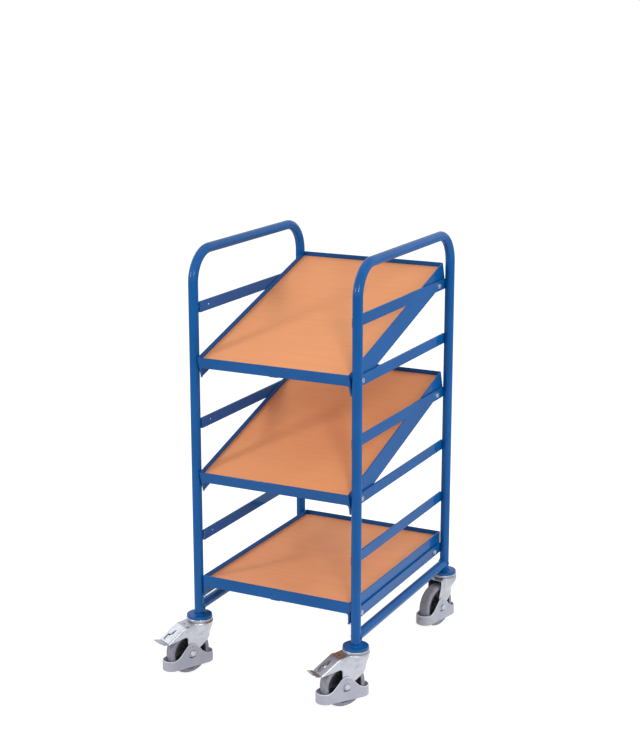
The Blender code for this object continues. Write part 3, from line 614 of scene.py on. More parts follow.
def make_rim(colours):
    """Black moulded rim: satin, with paler scuffs."""
    finish = Finish(RIM)
    scuff = finish.between(finish.noise(120.0, 5.0, 0.65), 0.50, 0.72)
    grain = finish.noise(1700.0)
    finish.set(Base_Color=finish.mix(colours.rim, colours.rim_scuff, scuff))
    finish.set(Roughness=0.34 + 0.20 * scuff + 0.10 * grain)
    finish.bump(grain, 0.15, 0.0002)


class CART_OT_finishes(bpy.types.Operator):
    """Makes the cart's materials"""

    bl_idname = "cart.finishes"
    bl_label = "Finishes"

    def execute(self, context):
        for make in (make_powder_coat, make_board, make_zinc, make_guard, make_tread, make_rim):
            make(context.scene.cart_colours)
        return {"FINISHED"}


DISC_EASE = 0.0016
RIPPLE_DISC, RIPPLE_TUBE, RIPPLE_BAR, RIPPLE_SEAM = 0.0042, 0.0036, 0.0030, 0.0028
# Shares of a bead's radius: a slim bead's own, and how far out it lies round a post and on a tube's saddle
SLIM_BEAD, DISC_BEAD_OUT, SADDLE_BEAD_OUT = 0.75, 0.35, 0.3
SADDLE_LIFT = 0.0004
BAR_CORNER, BAR_BEAD_SPAN, BAR_BEAD_REACH = 0.0008, 0.45, 0.42


def hoop_path(size, front, rear):
    """Centre line of a side hoop: up a post, a quarter circle, along the rail, another one, down again."""
    bend = size.bend_radius
    centre_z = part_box("side_hoop_left")[1].z - size.tube_radius - bend
    post_z = np.linspace(size.caster_height + size.disc_thickness / 2, centre_z - bend / 9, 6)
    line = chain(
        columns(front.y, post_z),
        arc((front.y + bend, centre_z), bend, 180, 90, BEND_STEPS),
        arc((rear.y - bend, centre_z), bend, 90, 0, BEND_STEPS),
        columns(rear.y, post_z[::-1]),
    )
    return columns(front.x, *line.T)


def foot_disc(size, post):
    """The disc under a post with rounded rims, and the rippled weld ring where the post stands on it."""
    bore, edge = size.tube_radius / 2, size.disc_radius - DISC_EASE
    low, high = size.caster_height, size.caster_height + size.disc_thickness
    profile = chain(
        [(bore, high)],
        arc((edge, high - DISC_EASE), DISC_EASE, 90, 0, 5),
        arc((edge, low + DISC_EASE), DISC_EASE, 0, -90, 5),
        [(bore, low)],
    )
    reach = size.tube_radius + size.bead_radius * DISC_BEAD_OUT
    ring = columns(reach * np.cos(turns(180)), reach * np.sin(turns(180)), high)
    weld = bead(ring, size.bead_radius * SLIM_BEAD, (0, 0, 1), RIPPLE_DISC, True)
    return moved([lathe(profile, closed=True), weld], at(post.x, post.y, 0))


def saddle_bead(size, post, height, way):
    """The weld where a level tube meets a post: y is the post's own round at the tube's x."""
    radius, turn = size.tube_radius, turns(160)
    x = radius * np.cos(turn)
    y = np.sqrt(np.maximum(radius**2 - x**2, 0)) + size.bead_radius * SADDLE_BEAD_OUT
    path = columns(post.x + x, post.y + way * y, height + (radius + SADDLE_LIFT) * np.sin(turn))
    return bead(path, size.bead_radius, (0, 1, 0), RIPPLE_TUBE, True)


def bar(size, side, level):
    """A flat bar with eased edges, a hole near each end and a weld down each side of its ends."""
    middle = box_middle(f"bar_{side}_{level}")
    bolt_y = [box_middle(f"bolt_bottom_{end}_left").y - middle.y for end in ENDS]
    outline = rectangle(BAR_SIZE.y / 2, BAR_SIZE.z / 2, BAR_CORNER)
    holes = [arc((y, 0), size.hole_radius, 360, 0, 32)[:-1] for y in bolt_y]
    surfaces = moved(plate([outline, *holes], BAR_SIZE.x), at(*middle) @ FACING_X)
    z = middle.z + np.linspace(-BAR_BEAD_SPAN, BAR_BEAD_SPAN, 60) * BAR_SIZE.z
    for (end, sign), face in product(ENDS.items(), (-1, 1)):
        post = POSTS[f"{end}_{side}"]
        x = middle.x + face * BAR_SIZE.x / 2
        reach = math.sqrt(max(size.tube_radius**2 - (x - post.x) ** 2, 0))
        y = post.y - sign * max(reach, size.tube_radius * BAR_BEAD_REACH)
        surfaces.append(bead(columns(x, y, z), size.bead_radius * SLIM_BEAD, (0, 1, 0), RIPPLE_BAR))
    return surfaces


class CART_OT_side_frames(bpy.types.Operator):
    """Builds the hoops with their discs, the lower tubes with their welds, and the drilled bars"""

    bl_idname = "cart.side_frames"
    bl_label = "Side frames"

    def execute(self, context):
        size = context.scene.cart_sizes
        for side in SIDES:
            front, rear = POSTS[f"front_{side}"], POSTS[f"rear_{side}"]
            hoop = [tube(hoop_path(size, front, rear), size.tube_radius, (1, 0, 0))]
            hoop += foot_disc(size, front) + foot_disc(size, rear)
            add_piece(f"side_hoop_{side}", mesh_from(hoop), COAT)
            height = box_middle(f"lower_tube_{side}").z
            run = np.linspace(front.y + size.tube_radius / 2, rear.y - size.tube_radius / 2, 9)
            lower = [tube(columns(front.x, run, height), size.tube_radius, (1, 0, 0))]
            lower += [saddle_bead(size, front, height, 1), saddle_bead(size, rear, height, -1)]
            add_piece(f"lower_tube_{side}", mesh_from(lower), COAT)
            for level in range(1, BAR_LEVELS + 1):
                add_piece(f"bar_{side}_{level}", mesh_from(bar(size, side, level), PLATE_SHARP), COAT)
        return {"FINISHED"}


EAR_CORNER = 0.0025
LEDGE_BITE, CHANNEL_BITE, CHANNEL_DROP = 0.0006, 0.001, 0.003
SEAM_RADIUS, SEAM_INSET = 0.0022, 0.004
PANEL_CORNER, PANEL_EDGE = 0.0015, 0.0008


def tray_frame(name):
    """Place of a tray's bolt plane, and half the distance between its front and rear bolts."""
    front, rear = (box_middle(f"bolt_{name}_{end}_left") for end in ENDS)
    run, centre = rear - front, (rear + front) / 2
    tilt = Matrix.Rotation(math.atan2(run.z, run.y), 4, "X")
    return at(MIDDLE.x, centre.y, centre.z) @ tilt, run.length / 2


def end_outline(size, half_x, rim, end_foot, foot):
    """A tray's front or rear flange: a shallow strip whose ends reach down as ears with a fillet inside."""
    reach = half_x - size.ear_width
    fillet, corner = size.ear_fillet, EAR_CORNER
    return mirrored(chain(
        arc((reach - fillet, end_foot - fillet), fillet, 90, 0, 8),
        arc((reach + corner, foot + corner), corner, 180, 270, CORNER_STEPS),
        arc((half_x - corner, foot + corner), corner, 270, 360, CORNER_STEPS),
        arc((half_x - corner, rim - corner), corner, 0, 90, CORNER_STEPS),
    ))


def channel_outline(size, foot, top):
    """The stiffening channel's section: a foot and two sides, open at its top."""
    half, sheet = size.stiffener_width / 2, size.sheet
    bend = sheet * 1.2
    return mirrored(chain(
        arc((half - bend, foot + bend), bend, 270, 360, 5),
        [(half, top), (half - sheet, top), (half - sheet, foot + sheet)],
    ))


def folded_tray(size, half_x, half_y, rim, foot, ledge):
    """A tray about its bolts' plane: side and end flanges, ledge, channel and the welds in its corners."""
    sheet, end_foot = size.sheet, rim - size.end_flange
    inner_x, inner_y = half_x - sheet, half_y - sheet
    wall = plate([rectangle(inner_y, (rim - foot) / 2)], sheet)
    flange = plate([end_outline(size, half_x, rim, end_foot, foot)], sheet)
    hole = rectangle(inner_x - size.ledge_width, inner_y - size.ledge_width)[::-1]
    shelf = plate([rectangle(inner_x + LEDGE_BITE, inner_y + LEDGE_BITE), hole], sheet)
    section = channel_outline(size, end_foot - CHANNEL_DROP, ledge - sheet / 2)
    surfaces = []
    for sign in SIDES.values():
        surfaces += moved(wall, at(sign * (half_x - sheet / 2), 0, (rim + foot) / 2) @ FACING_X)
    for sign in ENDS.values():
        surfaces += moved(flange, at(0, sign * (half_y - sheet / 2), 0) @ FACING_Y)
    surfaces += moved(shelf, at(0, 0, ledge - sheet / 2))
    surfaces += moved(plate([section], 2 * inner_y + CHANNEL_BITE), FACING_Y)
    z = np.linspace(foot + SEAM_INSET, rim - 3 * SEAM_INSET, 70)
    z = z[z < ledge - SEAM_INSET]
    for x, y in product(SIDES.values(), ENDS.values()):
        seam = columns(x * (inner_x - GAP), y * (inner_y - GAP), z)
        surfaces.append(bead(seam, SEAM_RADIUS, (0, 1, 0), RIPPLE_SEAM))
    return surfaces


class CART_OT_trays(bpy.types.Operator):
    """Builds the trays of folded sheet and the wooden panels in them"""

    bl_idname = "cart.trays"
    bl_label = "Trays and panels"

    def execute(self, context):
        size = context.scene.cart_sizes
        bolt = box_middle("bolt_bottom_front_left")
        low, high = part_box("tray_bottom")
        half_x, rim, foot = (high.x - low.x) / 2, high.z - bolt.z, low.z - bolt.z
        ledge = rim - size.panel_below_rim - size.panel_thickness - GAP
        for name in TRAYS:
            place, bolt_half = tray_frame(name)
            half_y = bolt_half + bolt.y - low.y
            tray = moved(folded_tray(size, half_x, half_y, rim, foot, ledge), place)
            add_piece(f"tray_{name}", mesh_from(tray, PLATE_SHARP), COAT)
            inside = size.sheet + GAP
            outline = rectangle(half_x - inside, half_y - inside, PANEL_CORNER)
            board = plate([outline], size.panel_thickness, PANEL_EDGE)
            board = moved(board, place @ at(0, 0, ledge + GAP + size.panel_thickness / 2))
            add_piece(f"panel_{name}", mesh_from(board, PLATE_SHARP), BOARD)
        return {"FINISHED"}


HEAD_HEIGHT, NUT_HEIGHT, WASHER_THICKNESS, THREAD_LENGTH = 0.0043, 0.0058, 0.0009, 0.003
HEAD_ROOM, NUT_ROOM = 0.0053, 0.0065
THREAD_PITCH, THREAD_DEPTH, THREAD_TIP = 0.00125, 0.18, (0.8, 0.2)
HEX_SHOULDER, HEX_TOP = 0.78, 0.47
BOLT_WASHER, BOLT_THREAD, BOLT_TURN, BOLT_TURN_STEP = 0.62, 0.9, 0.35, 37


def hexagon(radius, flats, height):
    """A bolt's head or nut: each radius is the smaller of a hexagon's and a turned profile's.

    The hexagon's radius at an angle is half the flats over the cosine of the angle from the nearest flat.
    The profile's chamfer is a cone that only the hexagon's corners reach.
    """
    corner, shoulder = flats / math.sqrt(3), height * HEX_SHOULDER
    profile = [(radius, 0), (corner, 0), (corner, shoulder), (flats * HEX_TOP, height), (0, height)]
    reach, rise = np.transpose(profile)
    angle, sixth = turns(LATHE_STEPS)[:, None], math.pi / 3
    flat = flats / 2 / np.cos(np.mod(angle, sixth) - sixth / 2)
    return spun(np.minimum(flat, reach), rise, angle)


def washer(radius, bore, thickness):
    """A flat washer with eased rims, standing on its own plane."""
    ease = thickness / 4
    side = [(bore, 0), (radius, 0), (radius, thickness - ease), (radius - ease, thickness), (bore, thickness)]
    return lathe(side, 64, True)


def threaded_end(radius, start, run):
    """A bolt's end: ring-shaped thread crests, one pitch apart, and a chamfered point."""
    along = np.linspace(0, run, 40)
    crest = radius - THREAD_DEPTH * THREAD_PITCH * (1 - np.cos(2 * math.pi * along / THREAD_PITCH))
    tip = start + run + radius * THREAD_TIP[1]
    return lathe(chain(columns(crest, start + along), [(radius * THREAD_TIP[0], tip), (0, tip)]), 32)


class CART_OT_tray_bolts(bpy.types.Operator):
    """Builds the hexagon bolts with washers outside the bars, and nuts with thread ends inside the trays"""

    bl_idname = "cart.tray_bolts"
    bl_label = "Tray bolts"

    def execute(self, context):
        size = context.scene.cart_sizes
        radius, flats = size.bolt_radius, size.bolt_flats
        ring = washer(flats * BOLT_WASHER, radius, WASHER_THICKNESS)
        head, nut = hexagon(radius, flats, HEAD_HEIGHT), hexagon(radius, flats, NUT_HEIGHT)
        thread = threaded_end(radius * BOLT_THREAD, NUT_HEIGHT - THREAD_LENGTH, THREAD_LENGTH)
        for tray, end, (side, sign) in product(TRAYS, ENDS, SIDES.items()):
            node = f"bolt_{tray}_{end}_{side}"
            low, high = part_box(node)
            middle = box_middle(node)
            grip = high.x - low.x - HEAD_ROOM - NUT_ROOM
            turn = Matrix.Rotation(BOLT_TURN * (middle.z * BOLT_TURN_STEP % 1), 4, "Z")
            flip = at(0, 0, -grip) @ HALF_TURN
            surfaces = [ring, *moved([head], at(0, 0, WASHER_THICKNESS) @ turn)]
            surfaces.append(lathe([(radius, -grip), (radius, 0)], 32))
            surfaces += moved([nut], flip @ turn.inverted()) + moved([thread], flip)
            face = high.x - HEAD_ROOM if sign > 0 else low.x + HEAD_ROOM
            way = axes((0, 1, 0), (0, 0, sign), (sign, 0, 0), (face, middle.y, middle.z))
            add_piece(node, mesh_from(moved(surfaces, way)), ZINC)
        return {"FINISHED"}


def caster_place(corner):
    """A caster's own frame: X along its axle, trailing towards -Y, origin on the floor under its swivel."""
    across = Vector(JOINTS[f"wheel_spin_{corner}"]["axis"]).normalized()
    up = Vector((0, 0, 1))
    post = POSTS[corner]
    return axes(across, up.cross(across), up, (post.x, post.y, 0))


def axle_place(corner):
    """The axle's frame: own Z along the axle, own X up."""
    place = caster_place(corner)
    across, along, up = (place.col[i].xyz for i in range(3))
    return axes(up, -along, across, JOINTS[f"wheel_spin_{corner}"]["pos_m"])


STEM_RADIUS, STEM_POINT, STEM_CHAMFER = 0.006, 0.0055, 0.0008
RACE_LIP, LOWER_LIP, LOWER_LIP_INSET = 0.0018, 0.0012, 0.001
GROOVE_DEPTH, GROOVE_TOP, GROOVE_FOOT = 0.0045, 0.0002, 0.0012
LOWER_INSET, LOWER_TOP = 0.002, 0.0013
KINGPIN_RADIUS, RIVET_RADIUS = 0.007, 0.012


class CART_OT_swivel_heads(bpy.types.Operator):
    """Builds the turned stems with two race plates, a groove between them, kingpin and rivet"""

    bl_idname = "cart.swivel_heads"
    bl_label = "Swivel heads"

    def execute(self, context):
        caster = context.scene.caster_sizes
        low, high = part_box("swivel_head_rear_left")
        top, foot = context.scene.cart_sizes.caster_height - GAP, caster.fork_top + GAP
        rivet = caster.fork_top - caster.fork_sheet - GAP
        radius, middle, lip = (high.x - low.x) / 2, (top + foot) / 2, RACE_LIP
        groove, lower = radius - GROOVE_DEPTH, (radius - LOWER_INSET, middle - LOWER_TOP)
        profile = chain(
            [(0, high.z), (STEM_POINT, high.z), (STEM_RADIUS, high.z - STEM_CHAMFER), (STEM_RADIUS, top)],
            arc((radius - lip, top - lip), lip, 90, 0, 5),
            arc((radius - lip, middle + lip), lip, 0, -90, 5),
            [(groove, middle - GROOVE_TOP), (groove, middle - GROOVE_FOOT), lower],
            arc((radius - lip - LOWER_LIP_INSET, foot + LOWER_LIP), LOWER_LIP, 45, -90, 4),
            [(KINGPIN_RADIUS, foot), (KINGPIN_RADIUS, rivet), (RIVET_RADIUS, rivet)],
            arc((0, rivet), (RIVET_RADIUS, rivet - low.z), 0, -90, 6),
        )
        head = mesh_from([lathe(profile)])
        for corner in CORNERS:
            post = POSTS[corner]
            add_piece(f"swivel_head_{corner}", head, ZINC, at(post.x, post.y, 0))
        return {"FINISHED"}


FORK_EYE = 0.0092
FORK_WAIST, FORK_SHOULDER = 0.048, 0.012
FORK_NOSE, FORK_NOSE_DEPTH = (0.0385, 0.030), 0.052
FORK_LEAN, FORK_BULGE = 0.022, 0.0008
CHEEK_ABOVE_AXLE, NOSE_ABOVE_AXLE = 0.0165, 0.0319
HOOD_SIDE, HOOD_CREASE = (0.0344, 0.003), 0.05
NOTCH_RADIUS = 0.010
SLIT_WIDTH, SLIT_NEAR, SLIT_FAR = 0.0033, 0.0045, 0.013
SLIT_START, SLIT_STEP, SLIT_END = 0.0155, 0.0315, 0.048
TAB_LIFT, TAB_SINK, TAB_INNER = 0.0024, 0.0018, 0.007
TAB_LEAD_UPPER, TAB_LEAD_LOWER, TAB_FADE = 0.004, 0.005, 0.003
HOOD_HOLE, HOOD_HOLE_CORNER = 0.0026, 0.0006
EMBOSS, EMBOSS_HEIGHT, EMBOSS_WIDTH = (-0.0555, 0.1325, 0.0062), 0.0008, 0.0013
REAR_SHIFT, REAR_FOOT, REAR_CLIMB, REAR_EASE = 0.0056, 0.088, 0.046, 0.020
KINGPIN_HOLE, KINGPIN_HOLE_HALF = 0.0074, 0.01
BORE_HALF = 0.06
# Share from which a point counts as lying on a caster's straight side
STRAIGHT = 0.99


def bowl_end(caster):
    """Where the round under the race meets the strip behind it: a leg of their half widths' triangle."""
    return -math.sqrt(caster.fork_half**2 - caster.strip_half**2)


def hood_start(caster):
    """Where the hood's slope starts, behind the cheek and the notch's round."""
    return -caster.trail - FORK_EYE - caster.fork_sheet / 2 - NOTCH_RADIUS


def fork_half(caster, y, top, z):
    """Half width of the fork: at its top a circle or the strip, whichever is wider, at the axle the cheek.

    Between them it is eased over the depth from the shoulder to the waist.
    """
    wide = np.maximum(np.sqrt(np.maximum(caster.fork_half**2 - y**2, 0)), caster.strip_half)
    share = smooth((z - top + FORK_WAIST) / (FORK_WAIST - FORK_SHOULDER))
    return caster.cheek_half + (wide - caster.cheek_half) * share


def hood_top(caster, y):
    """Height of the fork's top: level, then sunk a little behind the bowl, then straight down the hood.

    The crease between them is a hyperbola, half the sum of the run and the root of its square and a small
    one.
    """
    start, bowl = hood_start(caster), bowl_end(caster)
    sunk = np.clip((bowl - y) / (bowl + caster.trail + FORK_EYE), 0, 1)
    run = (start - y) / (start + caster.hood_reach)
    slope = (run + np.sqrt(run**2 + HOOD_CREASE**2)) / 2 * smooth(run / HOOD_CREASE + 2)
    fall = caster.fork_top - caster.hood_drop - caster.hood_end
    return caster.fork_top - caster.hood_drop * sunk - fall * slope


def fork_rows(caster, braked):
    """Lower edge of the fork from nose to trailing end: (side share, nose share, lean share, y, foot) rows.

    The nose is a quarter turn of shares, the eye half a circle round the axle. The edge is straight from
    the nose's foot to the cheek and from there to the eye, read where the leaning line ends. On a braked
    caster it then climbs the cheek, turns by the notch's quarter circle and runs straight to the hood's end.
    """
    start, bowl = FORK_EYE - caster.trail, bowl_end(caster)
    edge_y = (start, 0, FORK_NOSE[1])
    edge_z = caster.wheel_radius + np.array([0, CHEEK_ABOVE_AXLE, NOSE_ABOVE_AXLE])
    turn = np.radians(np.linspace(90, 0, 29))
    share = np.sin(turn)
    foot = np.interp(share * FORK_NOSE[1] - FORK_LEAN * (1 - share), edge_y, edge_z)
    front = columns(np.cos(turn), share, 1 - share, 0, foot)
    y = start * np.append(np.linspace(0, bowl / start, 13), 1.0)[1:]
    foot = np.interp(y - FORK_LEAN * np.clip(1 - y / bowl, 0, 1), edge_y, edge_z)
    edge = [columns(y, foot), arc((-caster.trail, caster.wheel_radius), FORK_EYE, 360, 180, 20)[1:]]
    if braked:
        notch_z = caster.fork_top - HOOD_SIDE[0]
        notch = arc((hood_start(caster), notch_z - NOTCH_RADIUS), NOTCH_RADIUS, 0, 90, 16)
        last = np.array([(-caster.hood_reach, caster.hood_end - HOOD_SIDE[1])])
        run = np.linspace(0, 1, 54)[1:, None]
        edge += [notch, notch[-1:] * (1 - run) + last * run]
    edge = chain(*edge)
    lean = np.clip(1 - edge[:, 0] / bowl, 0, 1)
    return chain(front, columns(1, 0, lean, *edge.T))


def fork_sheet(caster, braked, inside):
    """One side of the fork's sheet as a grid: rows from nose to tail, columns from foot over the top to foot.

    A half line runs level from the middle, turns down by a quarter circle of the edge radius and then
    follows the half width at each height. The nose rows lead the line round the swivel axis instead of across
    it, and lean back towards their foot. The inner side is the same with every reach shortened by the sheet.
    A ring is embossed in a braked fork's cheeks, and a plain fork's trailing edge is drawn forward above its
    eye.
    """
    side, nose, lean, y, foot = (column[:, None] for column in fork_rows(caster, braked).T)
    sheet, edge = caster.fork_sheet if inside else 0.0, caster.fork_edge
    top = hood_top(caster, y)
    turn = np.radians(np.linspace(0, 90, 9))[1:]
    share = np.linspace(0, 1, 26)
    wall_z = (top - edge) + (foot - top + edge) * np.linspace(0, 1, 31)[1:]
    depth = np.clip((caster.fork_top - wall_z) / FORK_NOSE_DEPTH, 0, 1)
    walls = (fork_half(caster, y, top, wall_z), FORK_NOSE[0] + (FORK_NOSE[1] - FORK_NOSE[0]) * depth)
    starts = (fork_half(caster, y, top, top - edge), FORK_NOSE[0] + 0 * top)
    reach = []
    for start, wall in zip(starts, walls):
        bend = start - edge + (edge - sheet) * np.sin(turn)
        reach.append(np.concatenate([(start - edge) * share, bend, wall - sheet], axis=1))
    rim = top - edge + (edge - sheet) * np.cos(turn)
    z = np.concatenate([top - sheet + 0 * share, rim, wall_z], axis=1)
    back = FORK_LEAN * lean * smooth((caster.fork_top - z) / FORK_WAIST)
    x, y = side * reach[0], y - back + nose * reach[1]
    if braked:
        ring = np.hypot(y - EMBOSS[0], z - EMBOSS[1]) - EMBOSS[2]
        on_cheek = (reach[0] > caster.cheek_half) * (side > STRAIGHT)
        x = x + EMBOSS_HEIGHT * np.exp(-((ring / EMBOSS_WIDTH) ** 2)) * on_cheek
    else:
        behind = smooth((bowl_end(caster) - y) / REAR_EASE)
        y = y + REAR_SHIFT * smooth((z - REAR_FOOT) / REAR_CLIMB) * behind
    right = np.stack([x, y, z], axis=-1)
    points = np.concatenate([right[:, :0:-1] * (-1, 1, 1), right], axis=1)
    if braked:
        points[..., 2] += tab_height(caster, points[..., 0], points[..., 1])
    return points


def tab_height(caster, x, y):
    """How far the two tabs beside the hood's slit stand out: each a product of a ramp across and one along.

    The upper tab rises towards the slit's near and lower edges, the lower one sinks towards its far edge.
    """
    run = hood_start(caster) - y
    on_top = np.abs(x) < caster.strip_half - caster.fork_edge
    near, far = SLIT_NEAR - SLIT_WIDTH / 2, SLIT_WIDTH / 2 - SLIT_FAR
    step = SLIT_STEP + SLIT_WIDTH / 2
    upper = smooth((x - far) / (near - far))
    upper = upper * smooth((run - SLIT_START + TAB_LEAD_UPPER) / (step - SLIT_START))
    lower = smooth((TAB_INNER - x) / (TAB_INNER - far))
    lower = lower * smooth((run - step + TAB_LEAD_LOWER) / (SLIT_END - step))
    upper = TAB_LIFT * upper * (x < near) * (run < step)
    lower = TAB_SINK * lower * (x > far) * (run > step) * (1 - smooth((run - SLIT_END) / TAB_FADE))
    return (upper - lower) * on_top


def rounded_rim(outer, inner, before, bulge):
    """A sheet's rounded edge from its outer to its inner border line: half an ellipse across the sheet.

    Its long way points along the cross product of the edge's direction and the sheet's, away from the sheet.
    """
    half, middle = (outer - inner) / 2, (outer + inner) / 2
    away = np.cross(np.gradient(outer, axis=0), half)
    away /= np.maximum(np.linalg.norm(away, axis=1, keepdims=True), SAME_POINT**2)
    away *= -np.sign((away * (before - outer)).sum(axis=1, keepdims=True))
    turn = np.linspace(0, math.pi, 7)[None, :, None]
    bulge = bulge[:, None, None] * away[:, None]
    return grid(middle[:, None] + half[:, None] * np.cos(turn) + bulge * np.sin(turn))


def fork_skin(caster, braked):
    """The whole sheet of a fork: its outer and inner sides, the rounded lower edges and the rounded tail."""
    outer, inner = fork_sheet(caster, braked, False), fork_sheet(caster, braked, True)
    row, column = (np.minimum(np.arange(count), 3) / 3 for count in outer.shape[:2])
    foot, tail = FORK_BULGE * row * row[::-1], FORK_BULGE * np.minimum(column, column[::-1])
    return [
        grid(outer),
        grid(inner),
        rounded_rim(outer[:, 0], inner[:, 0], outer[:, 1], foot),
        rounded_rim(outer[:, -1], inner[:, -1], outer[:, -2], foot),
        rounded_rim(outer[-1], inner[-1], outer[-2], tail),
    ]


def hood_cutters(caster):
    """The stepped slit in the hood and the small square hole before it, as upright plates."""
    start, step, end = (hood_start(caster) - run for run in (SLIT_START, SLIT_STEP, SLIT_END))
    near, far, low = SLIT_NEAR - SLIT_WIDTH, SLIT_WIDTH - SLIT_FAR, step - SLIT_WIDTH
    slit = np.array([
        (near, start), (near, step), (-SLIT_FAR, step), (-SLIT_FAR, end),
        (far, end), (far, low), (SLIT_NEAR, low), (SLIT_NEAR, start),
    ])
    hole = rectangle(HOOD_HOLE, HOOD_HOLE, HOOD_HOLE_CORNER) + (0, -caster.trail - FORK_EYE)
    lift = at(0, 0, caster.hood_end)
    return [moved(plate([outline], 4 * caster.fork_half, CUTTER_EDGE), lift) for outline in (slit, hole)]


def cross_bore(caster, radius, steps=40, lift=0.0):
    """A cutter across the whole caster, on the axle's line or above it."""
    place = at(0, -caster.trail, caster.wheel_radius + lift) @ ALONG_AXLE
    return moved([rod(radius, -BORE_HALF, BORE_HALF, steps)], place)


class CART_OT_forks(bpy.types.Operator):
    """Builds the pressed forks, the front pair with slit brake hoods and the rear pair plain"""

    bl_idname = "cart.forks"
    bl_label = "Forks"

    def execute(self, context):
        caster = context.scene.caster_sizes
        pin = rod(KINGPIN_HOLE, -KINGPIN_HOLE_HALF, KINGPIN_HOLE_HALF, 40)
        bore = cross_bore(caster, caster.axle_radius + BORE_PLAY)
        cutters = [bore, moved([pin], at(0, 0, caster.fork_top))]
        for braked, corners in ((True, FRONT_CORNERS), (False, REAR_CORNERS)):
            cuts = cutters + hood_cutters(caster) if braked else cutters
            fork = finished(mesh_from(fork_skin(caster, braked)), cuts)
            for corner in corners:
                add_piece(f"fork_{corner}", fork, ZINC, caster_place(corner))
        return {"FINISHED"}


# Attribute that holds each guard point's share of the painted highlight along its upper rim
GUARD_RIM_HIGHLIGHT = "rim"
GUARD_APEX_RADIUS, GUARD_APEX_LIFT = 0.022, 0.0041
GUARD_SLOPE, GUARD_SWEEP = math.radians(48), 0.036
GUARD_EASE = 0.0014
BOSS_HEIGHT, BOSS_RADIUS, BOSS_EASE = 0.0009, 0.0128, 0.0014
# Depth under the upper edge and easing of the painted highlight along the guard's rim
RIM_HIGHLIGHT_DEPTH, RIM_HIGHLIGHT_EASE = 0.0017, 0.0008
CRESCENT_RADIUS, CRESCENT_HALF, CRESCENT_DEPTH = 0.0138, 0.0017, 0.010
CRESCENT_FROM, CRESCENT_TO = 235, 305
SIGHT_RADIUS, SIGHT_LIFT = 0.0014, 0.018
VENT_HALF, VENT_CORNER, VENT_DEPTH = (0.006, 0.0011), 0.0010, 0.012
VENT_LIFTS = (0.008, 0.0135, 0.019)


def guard_edge(caster):
    """Upper edge of the guard's side ahead of the axle: distance from the axle and height above the floor.

    It is an arc over the axle, a straight flank at the slope's angle and an arc that runs out level on the
    band.
    """
    band = caster.guard_floor + caster.guard_band
    apex = caster.wheel_radius + GUARD_APEX_LIFT
    over, sweep = np.linspace(0, GUARD_SLOPE, 15), np.linspace(GUARD_SLOPE, 0, 21)
    flank = apex + GUARD_APEX_RADIUS * math.cos(GUARD_SLOPE) - band
    foot = GUARD_APEX_RADIUS * math.sin(GUARD_SLOPE) + flank / math.tan(GUARD_SLOPE)
    foot += GUARD_SWEEP * math.tan(GUARD_SLOPE / 2)
    y = chain(GUARD_APEX_RADIUS * np.sin(over), foot - GUARD_SWEEP * np.sin(sweep))
    z = chain(apex + GUARD_APEX_RADIUS * np.cos(over), band + GUARD_SWEEP * (1 - np.cos(sweep)))
    return y, z


def guard_track(caster):
    """A quarter of the guard's loop from above: (x, y, height of its upper edge, outward x and y) rows.

    The side is straight with the edge's own steps, and the end is a quarter circle round the wheel.
    """
    half, reach = caster.guard_half, caster.guard_end - caster.guard_half
    y, z = guard_edge(caster)
    turn = np.radians(np.linspace(0, 90, 25))
    end_y = reach + half * np.sin(turn)
    side = columns(half, y, z, 1, 0)[y < reach]
    end = columns(half * np.cos(turn), end_y, np.interp(end_y, y, z), np.cos(turn), np.sin(turn))
    return chain(side, end)


def guard_skin(caster):
    """The guard as a grid: its loop seen from above by a wall section with rounded edges.

    A section runs up the outside, over the rounded upper edge, down the inside and round the lower edge. A
    low boss stands round the axle on the outside.
    """
    quarter = guard_track(caster)
    far = chain(quarter, quarter[-2::-1] * (-1, 1, 1, -1, 1))
    loop = chain(far, far[-2:0:-1] * (1, -1, 1, 1, -1))
    x, y, top, normal_x, normal_y = (column[:, None] for column in loop.T)
    wall, ease = caster.guard_wall, GUARD_EASE
    climb = np.linspace(0, 1, 26)
    turn = np.radians(np.linspace(0, 90, 5))[1:-1]
    dip, sink = ease * (1 - np.cos(turn)), ease * (1 - np.sin(turn))
    low = caster.guard_floor + 0 * top
    rise = low + ease + (top - low - 2 * ease) * climb
    outside = chain(0 * climb, dip, [ease, wall - ease], wall - sink)
    depth = chain(outside, wall + 0 * climb, wall - dip, [wall - ease, ease], sink)
    over = [rise, top - sink, top * np.ones(2), top - dip]
    under = [rise[:, ::-1], low + sink, low * np.ones(2), low + dip]
    height = np.concatenate(over + under, axis=1)
    distance = np.hypot(y, height - caster.wheel_radius)
    on_side = (depth < wall / 2) * (np.abs(normal_x) > STRAIGHT)
    shift = BOSS_HEIGHT * smooth((BOSS_RADIUS - distance) / BOSS_EASE) * on_side - depth
    points = np.stack([x + normal_x * shift, y + normal_y * shift - caster.trail, height], axis=-1)
    return grid(points, True, True)


def crescent(caster, side):
    """A curved slot under the axle's head: a ring's short stretch with round ends."""
    mid, half, start, end = CRESCENT_RADIUS, CRESCENT_HALF, CRESCENT_FROM, CRESCENT_TO
    last, first = arc((0, 0), mid, end, start, 1)
    outline = chain(
        arc((0, 0), mid + half, start, end, 10),
        arc(last, half, end, end + 180, 6)[1:-1],
        arc((0, 0), mid - half, end, start, 10),
        arc(first, half, start - 180, start, 6)[1:-1],
    )
    place = at(side * caster.guard_half, -caster.trail, caster.wheel_radius) @ FACING_X
    return moved(plate([outline], CRESCENT_DEPTH, CUTTER_EDGE), place)


def vent(caster, lift):
    """A short level slot through the guard's trailing end."""
    place = at(0, -caster.trail - caster.guard_end, caster.guard_floor + lift) @ FACING_Y
    return moved(plate([rectangle(*VENT_HALF, VENT_CORNER)], VENT_DEPTH, CUTTER_EDGE), place)


